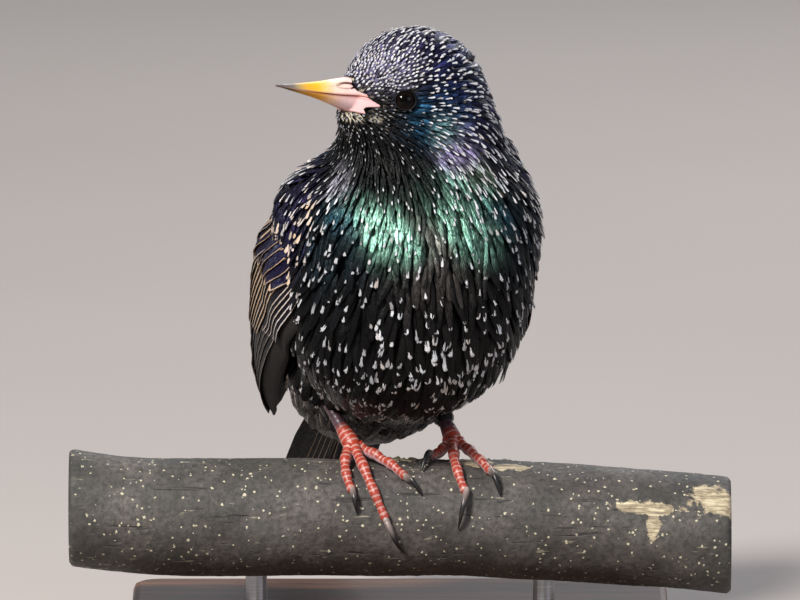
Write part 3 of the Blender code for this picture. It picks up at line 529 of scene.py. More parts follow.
def new_mesh(name, points, loops, totals, smooth, mats, mat_index=None):
    """Object at the origin from arrays: points in mm, one row of corners, corners per face."""
    mesh = bpy.data.meshes.new(name)
    mesh.vertices.add(len(points))
    mesh.vertices.foreach_set("co", to_floor(points).astype(np.float32).ravel())
    mesh.loops.add(len(loops))
    mesh.loops.foreach_set("vertex_index", loops.astype(np.int32))
    starts = np.concatenate([[0], np.cumsum(totals)[:-1]])
    mesh.polygons.add(len(totals))
    mesh.polygons.foreach_set("loop_start", starts.astype(np.int32))
    mesh.polygons.foreach_set("loop_total", totals.astype(np.int32))
    mesh.polygons.foreach_set("use_smooth", np.full(len(totals), smooth))
    for mat in mats:
        mesh.materials.append(mat)
    if mat_index is not None:
        mesh.polygons.foreach_set("material_index", mat_index.astype(np.int32))
    mesh.update(calc_edges=True)
    if mesh.validate():
        raise RuntimeError("%s had faces that Blender had to mend" % name)
    return new_object(name, mesh)


def set_value(obj, name, values):
    """A number per vertex."""
    layer = obj.data.attributes.new(name, "FLOAT", "POINT")
    layer.data.foreach_set("value", np.asarray(values, np.float32).ravel())


def set_colour(obj, name, values):
    """Four numbers per vertex."""
    layer = obj.data.attributes.new(name, "FLOAT_COLOR", "POINT")
    layer.data.foreach_set("color", np.asarray(values, np.float32).ravel())


def set_uv(obj, name, values):
    """A UV map from a pair per corner."""
    layer = obj.data.uv_layers.new(name=name)
    layer.data.foreach_set("uv", np.asarray(values, np.float32).ravel())


def grid_faces(rows, cols, wrap=True):
    """Corners of a grid's quads; with wrap the last column joins the first."""
    i = np.arange(rows - 1)[:, None]
    j = np.arange(cols if wrap else cols - 1)[None, :]
    k = (j + 1) % cols
    corners = (i * cols + j, (i + 1) * cols + j, (i + 1) * cols + k, i * cols + k)
    return np.stack(np.broadcast_arrays(*corners), -1).reshape(-1, 4)


class Parts:
    """Collects closed tubes into one mesh: points, faces, materials and values per vertex."""

    def __init__(self):
        self.points, self.quads, self.fans, self.kinds, self.fan_kinds = [], [], [], [], []
        self.count, self.values = 0, {}

    def tube(self, rings, kind=0, flip=False, **values):
        """A closed tube: rings (rows, around, 3), with a pole at the middle of each end ring."""
        rows, around = rings.shape[:2]
        poles = np.stack([rings[0].mean(0), rings[-1].mean(0)])
        points = np.concatenate([rings.reshape(-1, 3), poles])
        quads = grid_faces(rows, around)
        j = np.arange(around)
        k = (j + 1) % around
        first, last = rows * around, (rows - 1) * around
        fan = np.concatenate([np.stack([np.full(around, first), j, k], -1),
                              np.stack([np.full(around, first + 1), last + k, last + j], -1)])
        if flip:
            quads, fan = quads[:, ::-1], fan[:, ::-1]
        self.points.append(points)
        self.quads.append(quads + self.count)
        self.fans.append(fan + self.count)
        self.kinds.append(np.full(len(quads), kind))
        self.fan_kinds.append(np.full(len(fan), kind))
        for name, value in values.items():
            value = np.asarray(value, float)
            width = value.shape[-1] if value.ndim == 3 else 1
            flat = np.broadcast_to(value.reshape(rows, -1, width), (rows, around, width)).reshape(-1, width)
            ends = np.stack([flat[:around].mean(0), flat[-around:].mean(0)])
            rowset = self.values.setdefault(name, [])
            if sum(map(len, rowset)) < self.count:
                rowset.append(np.zeros((self.count - sum(map(len, rowset)), width)))
            rowset.append(np.concatenate([flat, ends]))
        self.count += len(points)

    def build(self, name, mats, uv=()):
        """One object of all tubes; the values named in uv become UV maps."""
        quads, fans = np.concatenate(self.quads), np.concatenate(self.fans)
        loops = np.concatenate([quads.ravel(), fans.ravel()])
        totals = np.concatenate([np.full(len(quads), 4), np.full(len(fans), 3)])
        kinds = np.concatenate(self.kinds + self.fan_kinds)
        obj = new_mesh(name, np.concatenate(self.points), loops, totals, True, mats, kinds)
        for key, rows in self.values.items():
            rows = np.concatenate(rows)
            rows = np.concatenate([rows, np.zeros((self.count - len(rows), rows.shape[1]))])
            if key in uv:
                set_uv(obj, key, rows[loops])
            elif rows.shape[1] == 4:
                set_colour(obj, key, rows)
            else:
                set_value(obj, key, rows[:, 0])
        return obj


def tube_piece(name, rings, mat, flip=False, **values):
    """One closed tube as an object of its own."""
    parts = Parts()
    parts.tube(rings, flip=flip, **values)
    return parts.build(name, (mat,))


def path_frames(path, side):
    """Two unit normals along a path; the second is nearest to side."""
    tangent = unit(np.gradient(path, axis=0))
    first = unit(np.cross(tangent, side))
    return first, np.cross(first, tangent)


def curve_through(x, xs, ys):
    """Smooth curve through points: cubic pieces whose slopes come from the neighbours."""
    xs, ys = np.asarray(xs, float), np.asarray(ys, float)
    slope = np.gradient(ys, xs)
    i = np.clip(np.searchsorted(xs, x) - 1, 0, len(xs) - 2)
    h = xs[i + 1] - xs[i]
    t = np.clip((x - xs[i]) / h, 0.0, 1.0)
    a, b = ys[i], ys[i + 1]
    return (a * (1 + 2 * t) * (1 - t) ** 2 + h * slope[i] * t * (1 - t) ** 2
            + b * t * t * (3 - 2 * t) + h * slope[i + 1] * t * t * (t - 1))


# ---------------------------------------------------------------- vanes
VANE_ROWS = np.array([0.0, 0.30, 0.52, 0.68, 0.78, 0.85, 0.905, 0.955, 1.0])
VANE_COLS = np.array([-1.0, -0.74, -0.47, -0.22, 0.0, 0.22, 0.47, 0.74, 1.0])
SHAFT = 4
UNDERSIDE_SHIFT = 60.0
BARB_SHIFT = 40.0
BAKE_PATCH = 0.003
ROUND_END = 0.30
MOST_TRIANGLES = 200000
MOST_VANES = 1080


def vane_template(rows, cols, closed):
    """Corners of one closed vane, its face sizes and how many faces belong to its upper side.

    A closed vane's columns run right round it. Otherwise the columns are its upper side, and
    one strip of faces underneath joins its edges.
    """
    top = grid_faces(rows, cols, wrap=closed)
    r = np.arange(0 if closed else rows - 1)
    under = np.stack([r * cols, r * cols + cols - 1, (r + 1) * cols + cols - 1, (r + 1) * cols], -1)
    ends = np.stack([np.arange(cols), (rows - 1) * cols + np.arange(cols)[::-1]])
    loops = np.concatenate([top.ravel(), under.ravel(), ends.ravel()]).astype(int)
    totals = np.concatenate([np.full(len(top) + len(under), 4), np.full(2, cols)])
    return loops, totals, len(top)


def add_vanes(name, grid, values, uv, bake, mat, closed=False):
    """One object of many vanes. grid is (vanes, rows, columns, 3).

    The map named vane holds millimetres across and along each vane; the underside's is moved
    aside, which tells the material to leave the marks off it. The map named OFBake holds one
    small patch for each vane, at its root's place on the unwrap of the form under it.
    """
    count, rows, cols = grid.shape[:3]
    loops, totals, tops = vane_template(rows, cols, closed)
    hidden = np.arange(len(loops)) >= 4 * tops
    smooth = np.arange(len(totals)) < tops
    shift = np.arange(count)[:, None] * rows * cols
    loops = (loops + shift).ravel()
    obj = new_mesh(name, grid.reshape(-1, 3), loops, np.tile(totals, count), np.tile(smooth, count), (mat,))
    for key, value in values.items():
        (set_colour if value.ndim == 4 else set_value)(obj, key, value)
    hidden_all = np.tile(hidden, count)[:, None]
    set_uv(obj, "vane", uv.reshape(-1, 2)[loops] + hidden_all * np.array([UNDERSIDE_SHIFT, 0.0]))
    a, b = np.meshgrid(np.linspace(-0.5, 0.5, rows), np.linspace(-0.5, 0.5, cols), indexing="ij")
    patch = (bake[:, None, None, :] + BAKE_PATCH * np.stack([b, a], -1)).reshape(-1, 2)[loops]
    root = np.repeat(bake, len(hidden), 0) - 0.5 * BAKE_PATCH
    set_uv(obj, "OFBake", np.clip(np.where(hidden_all, root, patch), 0.0, 1.0))
    if (totals - 2).sum() * count > MOST_TRIANGLES:
        raise RuntimeError("%s has too many triangles" % name)
    return obj


def fitted(uv):
    """Pairs stretched to run from 0.01 to 0.99 both ways."""
    low, high = uv.min(0), uv.max(0)
    return 0.01 + 0.98 * (uv - low) / np.maximum(high - low, 1e-6)


def vane_outline(long, wide, point, rng, ragged, rows=VANE_ROWS, cols=VANE_COLS):
    """Half width and pull-back of a vane's grid, (vanes, rows, columns).

    The half width opens from a narrow root, and closes to a lance as far as point says. The
    pull-back draws the edges in behind the tip, so that the end is round, and adds a ragged
    fringe of barbs.
    """
    a, b = rows[None, :, None], cols[None, None, :]
    long, wide, point = long[:, None, None], wide[:, None, None], point[:, None, None]
    late = np.clip((a - 0.40) / 0.60, 0.0, 1.0)
    taper = point * 0.86 * late**1.3 + (1.0 - point) * 0.30 * a**7
    half = 0.5 * wide * np.minimum(1.0, 0.35 + 1.6 * a) * (1.0 - taper)
    blunt = (1.0 - point) * wide * ROUND_END * np.abs(b) ** 2.2
    fringe = ragged * wide * (rng.random((len(long), 1, len(cols))) - 0.35)
    pull = (blunt + fringe) * a**5
    return np.broadcast_to(half, pull.shape), pull, long


def pale_mark(x, back, tip, lobe, broad):
    """1 inside the pale mark near a vane's tip, 0 outside, with a ramp of half a millimetre.

    x is the distance from the shaft and back the distance from the end. The mark is one drop,
    or two side by side when lobe isn't zero.
    """
    reach = tip * np.exp(-(((np.abs(x) - lobe) / broad) ** 2))
    return np.clip((reach - back) / 0.5 + 0.5, 0.0, 1.0) * np.clip((reach - 0.12 * tip) * 9.0, 0.0, 1.0)


def pale_edge(edge, rim):
    """1 within rim millimetres of a vane's edge."""
    return np.clip((rim - edge) / 0.35 + 0.5, 0.0, 1.0) * (rim > 0.0)


WHITE_TIP, BUFF_TIP = "#d3d6dc", "#c9a06c"


def tip_colour(warm, rng):
    """Linear colour of pale tips between white and buff, each a little different."""
    white, buff = to_linear(WHITE_TIP), to_linear(BUFF_TIP)
    warm = np.clip(warm + 0.12 * rng.standard_normal(len(warm)), 0.0, 1.0)[:, None]
    return ((1.0 - warm) * white + warm * buff) * (0.80 + 0.25 * rng.random((len(warm), 1)))


# ---------------------------------------------------------------- contour feathers
def scattered(rng, points, spacing_of):
    """Roots over a closed grid, about one per square of the spacing, and their grid places."""
    a, b = points[:-1], points[1:]
    a1, b1 = np.roll(a, -1, 1), np.roll(b, -1, 1)
    area = 0.5 * np.linalg.norm(np.cross(b1 - a, b - a1), axis=-1)
    centre = 0.25 * (a + b + a1 + b1)
    wanted = (area / (0.92 * spacing_of(centre.reshape(-1, 3)).reshape(area.shape) ** 2)).ravel()
    total = np.cumsum(wanted)
    count = int(total[-1])
    cell = np.searchsorted(total, (np.arange(count) + rng.random(count)) * (total[-1] / count) * 0.9999)
    i, j = np.divmod(cell, area.shape[1])
    s, t = rng.random((2, count))
    p = ((1 - s) * (1 - t))[:, None] * a[i, j] + (s * (1 - t))[:, None] * b[i, j]
    p += ((1 - s) * t)[:, None] * a1[i, j] + (s * t)[:, None] * b1[i, j]
    return p, np.stack([(j + t) / area.shape[1], (i + s) / area.shape[0]], -1)


def spread_out(p, spacing, rounds):
    """Roots pushed apart from their neighbours, and back on to the surface, a few times."""
    for _ in range(rounds):
        push = np.zeros_like(p)
        for low in range(0, len(p), 600):
            part = slice(low, low + 600)
            gap = p[part, None].astype(np.float32) - p[None].astype(np.float32)
            far = np.sqrt((gap * gap).sum(-1))
            near = np.clip(1.0 - far / (1.25 * spacing[part, None]), 0.0, None) ** 2
            near[far < 1e-6] = 0.0
            push[part] = (gap * (near / np.maximum(far, 1e-6))[..., None]).sum(1)
        p = settled(p + 0.9 * spacing[:, None] * push, 0.0, 1)
    return p


def gap_to(points, others, reach=0.0):
    """Distance from each point to the nearest of the others, less the other's own reach."""
    parts = [points[low:low + 500, None] for low in range(0, len(points), 500)]
    return np.concatenate([(np.linalg.norm(part - others, axis=-1) - reach).min(1) for part in parts])


# where the feathers end beside the bill: height, and how far forward
LINE_UP = (-7.6, -7.0, -6.3, -5.6, -4.7, -4.2, -3.9, -3.5, -2.7, -2.0, -1.3, -0.6, -0.1, 0.4, 1.5, 3.3)
LINE_ALONG = (18.2, 18.9, 19.5, 19.9, 20.1, 19.4, 17.7, 17.2, 18.2, 19.4, 20.1, 21.0, 22.0, 22.5, 23.0, 22.9)


def bill_line(u):
    """How far forward the feathers come at height u of the head's side."""
    return curve_through(u, LINE_UP, LINE_ALONG)


@lru_cache(maxsize=None)
def eye_centre(side):
    """Centre of the eyeball and the way it looks; only its front cap shows."""
    start = placed("head", EYE_ALONG, 0.0, EYE_HEIGHT)
    probe = start + outermost(start[None], side * HEAD_ROWS[1:2], 40.0)[0] * side * HEAD_ROWS[1]
    look = outward(probe[None])[0]
    return probe - EYE_DEPTH * look, look


@lru_cache(maxsize=None)
def contour_roots(seed, scale):
    """Places of all contour feathers' roots, after the bare and covered places are left out."""
    rng = np.random.default_rng(seed)
    points = outline_grid(112, 96)
    p, uv = scattered(rng, points, lambda q: scale * tract_values(q)[0]["space"])
    p = settled(p, 0.0)
    p = spread_out(p, scale * tract_values(p)[0]["space"], 12)
    q = local("head", p)
    keel = np.interp(q[:, 0], BILL_STATIONS[:, 0], BILL_STATIONS[:, 3])
    bare = (q[:, 0] > bill_line(q[:, 2])) & (q[:, 0] > 14.0) & (q[:, 2] > keel + 0.3) & (q[:, 2] < 3.6)
    for side in (1.0, -1.0):
        centre, look = eye_centre(side)
        rel = p - centre
        ahead = rel @ look
        off = np.linalg.norm(rel - ahead[:, None] * look, axis=1)
        bare |= (off < EYE_CLEAR - 0.25) & (ahead > -1.0) & (ahead < 8.0)
        face = wing_surface(side)[0]
        clear = WING_GRID_S > wing_front(WING_GRID_T) + 0.14
        cover = face[:, 2:-2][clear[:, 2:-2]][::2]
        bare |= gap_to(p, cover) < 4.0
    # the tail's root needs no feathers inside the fan
    b = local("body", p)
    bare |= (b[:, 0] < -56.0) & (b[:, 2] < 12.0)
    return p[~bare], uv[~bare]


def contour_vanes(p, measures, rng, ragged):
    """Grids of contour feathers.

    Each one starts below the surface of the plumage at its root and comes up to it at its tip
    as a power of the way along, so that it lies over the roots of those behind it. Its rows
    follow the lie of the coat over the body, turned by a small angle of its own.
    """
    n = len(p)
    wild = np.clip(measures["space"] / 3.0, 0.3, 1.0)
    long = measures["long"] * (1.0 + 0.2 * wild * rng.standard_normal(n)).clip(0.6, 1.5)
    wide = measures["wide"] * (0.85 + 0.3 * rng.random(n))
    turn = np.radians(10.0) * wild * rng.standard_normal(n)
    # beside the bill they are short and shallow
    q = local("head", p)
    beside = (q[:, 2] > -8.0) & (q[:, 0] > 8.0)
    behind = np.where(beside, np.clip(bill_line(q[:, 2]) - q[:, 0], 0.0, 9.0), 9.0)
    long = long * np.clip(0.40 + 0.16 * behind, 0.40, 1.0)
    normal = outward(p)
    rows = [(p, normal, lie(p, normal))]
    # the vane ends short of the eye
    for side in (1.0, -1.0):
        rel = eye_centre(side)[0] - p
        ahead = (rel * rows[0][2]).sum(-1)
        off = np.sqrt(np.maximum((rel * rel).sum(-1) - ahead**2, 0.0))
        hit = ahead - np.sqrt(np.maximum(EYE_CLEAR**2 - off**2, 0.0))
        blocked = (ahead > 0.0) & (off < EYE_CLEAR) & (np.linalg.norm(rel, axis=1) < 14.0)
        long = np.where(blocked, np.minimum(long, np.maximum(hit, 0.8)), long)
    for k in range(1, len(VANE_ROWS)):
        step = (VANE_ROWS[k] - VANE_ROWS[k - 1]) * long
        centre, normal, way = rows[-1]
        swung = np.cos(turn)[:, None] * way + np.sin(turn)[:, None] * np.cross(normal, way)
        centre = settled(centre + step[:, None] * swung, 0.0, 1)
        normal = outward(centre)
        rows.append((centre, normal, lie(centre, normal)))
    path, normal = [np.stack([row[i] for row in rows], 1) for i in (0, 1)]
    tangent = unit(np.gradient(path, axis=1))
    side = unit(np.cross(normal, tangent))
    half, pull, long3 = vane_outline(long, wide, measures["point"], rng, ragged)
    a, b = VANE_ROWS[None, :, None], VANE_COLS[None, None, :]
    flat = vane_sheet(path, side, tangent, half, pull, VANE_COLS)
    deep = (measures["deep"] * np.clip(0.35 + 0.2 * behind, 0.35, 1.0))[:, None, None]
    loose = np.where(rng.random(n) < 0.04, 5.0, 0.4 + 1.2 * rng.random(n))
    lift = (measures["lift"] * loose)[:, None, None]
    rise = -deep * (1.0 - a**0.75) + lift * a**2 + 0.10 * rng.standard_normal((n, 1, 1))
    roll = 0.16 * rng.standard_normal((n, 1, 1)) * half * b
    camber = (0.16 * half + 0.03) * (1.0 - b * b) + 0.05 * half * (np.abs(b) < 0.1)
    height = rise + roll * a + camber - 0.10
    gap = height - field(flat)
    grid = flat + np.clip(gap, -6.0, 6.0)[..., None] * normal[:, :, None]
    return grid, half, b * half, (1.0 - a) * long3 + 0.4 * np.clip(pull, 0.0, None)


def coat_pieces(settings, mat):
    """All contour feathers, in one object per part of the coat, and where their marks are.

    Each feather draws its own length of mark, lobes and breadth round its tract's, and the tint
    follows the gloss at its place, row by row.
    """
    p, unwrap = contour_roots(settings.seed, settings.feather_scale)
    rng = np.random.default_rng(settings.seed + 1)
    measures, tract = tract_values(p)
    owner = np.array([row[4] for row in TRACTS.values()])[tract]
    grid, half, x, back = contour_vanes(p, measures, rng, settings.ragged)
    n = len(p)
    col = {key: value[:, None, None] for key, value in measures.items()}
    wild = np.clip(col["space"] / 3.0, 0.3, 1.0)
    tip = col["tip"] * (1.0 + 0.35 * wild * rng.standard_normal((n, 1, 1))).clip(0.35, 1.8)
    has = (rng.random((n, 1, 1)) < col["chance"]).astype(float)
    lobe = col["lobe"] * (1.0 + 0.5 * rng.standard_normal((n, 1, 1)))
    broad = col["broad"] * (0.8 + 0.4 * rng.random((n, 1, 1)))
    skew = 0.75 * (2.0 * rng.random((n, 1, 1)) - 1.0) * np.tanh(x / 0.3)
    off_shaft = x + 0.25 * lobe * rng.standard_normal((n, 1, 1))
    pale = has * pale_mark(off_shaft, back, tip * (1.0 + skew), np.abs(lobe), broad)
    names = np.array(list(TRACTS))[tract]
    edged = pale_edge(np.minimum(back, half - np.abs(x)), 0.55) * (back < 7.0)
    pale = np.where((names == "undertail")[:, None, None], edged, pale)
    # the tint carries the painted highlights of the gloss rows
    tint = np.repeat(gloss_at(grid[:, :, SHAFT])[:, :, None], len(VANE_COLS), 2)
    tint[..., :3] *= np.exp(0.55 * rng.standard_normal((n, 1, 1, 1)))
    tips = np.zeros(tint.shape)
    # marks are greyed by tract, and on the flank and lower belly dimmed as painted shade
    grey_and_shade = np.array([GREY_AND_SHADE.get(name, 1.0) for name in names])
    grey_and_shade = grey_and_shade * np.minimum(1.15, np.exp(0.35 * rng.standard_normal(n)))
    tips[..., :3] = (tip_colour(measures["warm"], rng) * grey_and_shade[:, None])[:, None, None]
    tips[..., 3] = rng.random((n, 1, 1))
    uv = np.stack([x, BARB_SHIFT * rng.random((n, 1, 1)) - back], -1)
    marked = has[:, 0, 0] > 0
    pieces, marks, reach = [], grid[:, -2, SHAFT][marked], (0.5 * tip)[:, 0, 0][marked]
    for part in sorted(set(owner)):
        index = np.flatnonzero(owner == part)
        for number, chosen in enumerate(np.array_split(index, -(-len(index) // MOST_VANES))):
            name = "coat_%s_%d" % (part, number + 1)
            values = {"tint": tint[chosen], "tips": tips[chosen], "pale": pale[chosen]}
            pieces.append(add_vanes(name, grid[chosen], values, uv[chosen], fitted(unwrap[chosen]), mat))
    return pieces, marks, reach


# ---------------------------------------------------------------- materials
def plug(tree, value, socket):
    """Gives an input a socket, a number, a colour or a colour's sRGB hex."""
    if hasattr(value, "links"):
        tree.links.new(value, socket)
    else:
        socket.default_value = rgba(value) if isinstance(value, str) else value


def add_node(tree, kind, links=None, **settings):
    """Adds a node, sets its properties, or its inputs after in_, and links inputs by name."""
    node = tree.nodes.new(kind)
    for key, value in settings.items():
        if key.startswith("in_"):
            node.inputs[key[3:].replace("_", " ")].default_value = value
        else:
            setattr(node, key, value)
    for key, source in (links or {}).items():
        tree.links.new(source, node.inputs[key])
    return node


def new_material(name):
    """A material, its node tree and its shader."""
    mat = bpy.data.materials.new(name)
    mat.use_nodes = True
    return mat, mat.node_tree, mat.node_tree.nodes["Principled BSDF"]


def set_shader(tree, shader, **inputs):
    """Gives the shader's inputs their sockets and constants."""
    for key, value in inputs.items():
        plug(tree, value, shader.inputs[key.replace("_", " ")])


def math_node(tree, operation, a, b=0.0, c=0.0, clamp=False):
    """A Math node; each input is a number or a socket."""
    node = add_node(tree, "ShaderNodeMath", operation=operation, use_clamp=clamp)
    for i, value in enumerate((a, b, c)):
        plug(tree, value, node.inputs[i])
    return node.outputs[0]


def times(tree, a, b, clamp=False):
    """One value times another."""
    return math_node(tree, "MULTIPLY", a, b, clamp=clamp)


def scaled(tree, value, factor, shift, clamp=False):
    """A value times a factor, plus a shift."""
    return math_node(tree, "MULTIPLY_ADD", value, factor, shift, clamp)


def smooth_step(tree, value, low, high):
    """0 below low, 1 above high, and level at both."""
    node = add_node(tree, "ShaderNodeMapRange", {"Value": value}, interpolation_type="SMOOTHSTEP",
                    in_From_Min=low, in_From_Max=high)
    return node.outputs[0]


def mix_colour(tree, factor, a, b, blend="MIX"):
    """A colour mix; each input is a colour, a number or a socket."""
    node = add_node(tree, "ShaderNodeMix", data_type="RGBA", blend_type=blend)
    for i, value in ((0, factor), (6, a), (7, b)):
        plug(tree, value, node.inputs[i])
    return node.outputs[2]


def attribute(tree, name):
    """The outputs of a value per vertex: Color, Fac and Alpha."""
    return add_node(tree, "ShaderNodeAttribute", attribute_name=name).outputs


def object_place(tree):
    """Place in the model, in metres."""
    return add_node(tree, "ShaderNodeTexCoord").outputs["Object"]


def map_numbers(tree, name):
    """Both numbers of a UV map."""
    uv = add_node(tree, "ShaderNodeUVMap", uv_map=name)
    split = add_node(tree, "ShaderNodeSeparateXYZ", {"Vector": uv.outputs["UV"]})
    return split.outputs[0], split.outputs[1]


def noise_node(tree, vector, scale, detail=2.0, roughness=0.5, distortion=0.0):
    """Cloudy noise between 0 and 1."""
    node = add_node(tree, "ShaderNodeTexNoise", {"Vector": vector}, in_Scale=scale, in_Detail=detail,
                    in_Roughness=roughness, in_Distortion=distortion)
    return node.outputs["Fac"]


def stretched(tree, vector, scales, detail=2.0, roughness=0.5, distortion=0.0):
    """Noise with a scale of its own along each axis."""
    node = add_node(tree, "ShaderNodeMapping", {"Vector": vector}, in_Scale=scales)
    return noise_node(tree, node.outputs[0], 1.0, detail, roughness, distortion)


def bump(tree, height, strength, distance):
    """Normals of a fine relief."""
    node = add_node(tree, "ShaderNodeBump", {"Height": height}, in_Strength=strength, in_Distance=distance)
    return node.outputs[0]


def ramp(tree, value, stops):
    """Value to colour through stops (place, hex)."""
    node = add_node(tree, "ShaderNodeValToRGB", {"Fac": value})
    for _ in range(len(stops) - 2):
        node.color_ramp.elements.new(0.5)
    for element, (place, code) in zip(node.color_ramp.elements, stops):
        element.position = place
        element.color = rgba(code)
    return node.outputs["Color"]


BARB_SLANT = 2.1


def plumage_material(name, gloss, rough, fine):
    """Keratin vanes. Glossy black feathers carry a thin film that gives a metal's coloured
    shine over black, in streaks along the barbs, with painted white highlights on the brightest strands; pale
    tips are chalky and have none of it.

    A streak is noise that is long along a barb, which runs outwards at a slant, and short
    across it. Real barbs are about 0.1 mm apart, and their strands are drawn here about 0.5 mm
    wide, so that they show.
    """
    mat, tree, shader = new_material(name)
    tint = attribute(tree, "tint")
    across, along = map_numbers(tree, "vane")
    off = math_node(tree, "ABSOLUTE", across)
    barb = math_node(tree, "SUBTRACT", along, times(tree, off, BARB_SLANT))
    places = {"X": times(tree, barb, fine), "Y": times(tree, off, 0.9)}
    vector = add_node(tree, "ShaderNodeCombineXYZ", places)
    streak = noise_node(tree, vector.outputs[0], 1.0, 3.0, 0.62)
    # the mark's edge breaks up along the barbs
    edge = math_node(tree, "ADD", attribute(tree, "pale")["Fac"], scaled(tree, streak, 0.5, -0.25))
    under = math_node(tree, "GREATER_THAN", across, 0.5 * UNDERSIDE_SHIFT)
    mark = times(tree, smooth_step(tree, edge, 0.40, 0.60), math_node(tree, "SUBTRACT", 1.0, under))
    light = math_node(tree, "MAXIMUM", scaled(tree, streak, 4.4, -1.40), 0.06)
    shaded = mix_colour(tree, 1.0, tint["Color"], light, "MULTIPLY")
    # painted highlights: where the film is strong, the brightest strands are painted nearly white as glints
    film = scaled(tree, tint["Alpha"], 1.6, -0.9, clamp=True)
    painted_glint = times(tree, scaled(tree, streak, 9.0, -4.9, clamp=True), film)
    shaded = mix_colour(tree, painted_glint, shaded, "#b9ccc6")
    grey = (0.26, 0.26, 0.29, 1.0)
    chalk = mix_colour(tree, times(tree, streak, 0.6), attribute(tree, "tips")["Color"], grey)
    bare = math_node(tree, "SUBTRACT", 1.0, mark)
    set_shader(tree, shader, Base_Color=mix_colour(tree, mark, shaded, chalk), Specular_IOR_Level=0.16,
               Metallic=times(tree, times(tree, tint["Alpha"], gloss), bare, clamp=True),
               Roughness=scaled(tree, mark, 0.25, scaled(tree, streak, 0.25, rough)),
               Normal=bump(tree, streak, 0.9, 0.0005))
    return mat


def skin_material():
    """Down and feather bases: the same colours as the plumage over them, matt."""
    mat, tree, shader = new_material("skin_feather_bases")
    fluff = noise_node(tree, object_place(tree), 1400.0, 3.0, 0.6)
    shade = scaled(tree, fluff, 0.9, 0.15)
    dark = mix_colour(tree, 1.0, attribute(tree, "tint")["Color"], shade, "MULTIPLY")
    colour = mix_colour(tree, attribute(tree, "pale")["Fac"], dark, "#bdb3a0")
    set_shader(tree, shader, Base_Color=colour, Roughness=0.8, Specular_IOR_Level=0.15,
               Normal=bump(tree, fluff, 0.6, 0.0003))
    return mat


def scute_material():
    """Horny leg scales: orange-red plates with pinkish-white edges, painted darker and purple above as the
    body's shadow on the shank.

    The first number of the map counts plates; the second is 0 above and 1 on the sole.
    """
    mat, tree, shader = new_material("leg_scutes_keratin")
    along, low = map_numbers(tree, "scale")
    where = object_place(tree)
    mottle = noise_node(tree, where, 900.0, 3.0, 0.6)
    wander = scaled(tree, noise_node(tree, where, 420.0, 2.0), 0.70, -0.35)
    place = math_node(tree, "FRACT", math_node(tree, "ADD", along, wander))
    band = math_node(tree, "ABSOLUTE", math_node(tree, "SUBTRACT", place, 0.5))
    plate = ramp(tree, times(tree, band, 2.0), [(0.0, "#a4361a"), (0.50, "#923420"), (0.70, "#a05448"),
                                                (0.86, "#cca298"), (0.94, "#b88c84"), (1.0, "#7e3a32")])
    sole = ramp(tree, mottle, [(0.3, "#a67c84"), (0.7, "#dab8ba")])
    colour = mix_colour(tree, smooth_step(tree, low, 0.28, 0.62), plate, sole)
    colour = mix_colour(tree, times(tree, mottle, 0.35), colour, "#8c3a3a")
    # painted shadow of the body: dark purple plates high on the shank
    shade_and_tone_colours = ramp(tree, mottle, [(0.3, "#241820"), (0.7, "#5a4048")])
    colour = mix_colour(tree, attribute(tree, "dusk")["Fac"], colour, shade_and_tone_colours)
    set_shader(tree, shader, Base_Color=colour, Roughness=0.42, Subsurface_Weight=0.08,
               Subsurface_Scale=0.001, Subsurface_Radius=(1.0, 0.4, 0.3),
               Normal=bump(tree, mottle, 0.35, 0.00015))
    return mat


def horn_material(name, rough, fine):
    """Polished keratin of bill and claws, coloured along its length, with fine growth lines."""
    mat, tree, shader = new_material(name)
    where = object_place(tree)
    shade = scaled(tree, noise_node(tree, where, 350.0, 3.0, 0.55), 0.35, 0.82)
    fleck = noise_node(tree, where, fine, 2.0, 0.6)
    colour = mix_colour(tree, 1.0, attribute(tree, "tint")["Color"], shade, "MULTIPLY")
    set_shader(tree, shader, Base_Color=colour, Roughness=scaled(tree, fleck, 0.2, rough),
               Subsurface_Weight=0.12, Subsurface_Scale=0.0012, Subsurface_Radius=(1.0, 0.6, 0.35),
               Coat_Weight=0.15, Coat_Roughness=0.25, Normal=bump(tree, fleck, 0.15, 0.0001))
    return mat


def eye_material():
    """Wet cornea over a dark brown iris and black pupil: very smooth, with a clear highlight."""
    mat, tree, shader = new_material("eye_wet_cornea")
    set_shader(tree, shader, Base_Color=attribute(tree, "tint")["Color"], Roughness=0.05,
               Coat_Weight=0.05, Coat_Roughness=0.02, IOR=1.38, Specular_IOR_Level=0.12)
    return mat


def lid_material():
    """Bare eyelid: thin grey skin in fine folds, a little shiny."""
    mat, tree, shader = new_material("eyelid_bare_skin")
    fold = noise_node(tree, object_place(tree), 2200.0, 2.0)
    set_shader(tree, shader, Base_Color=ramp(tree, fold, [(0.35, "#040304"), (0.7, "#121014")]),
               Roughness=0.6, Specular_IOR_Level=0.25, Normal=bump(tree, fold, 0.5, 0.0002))
    return mat


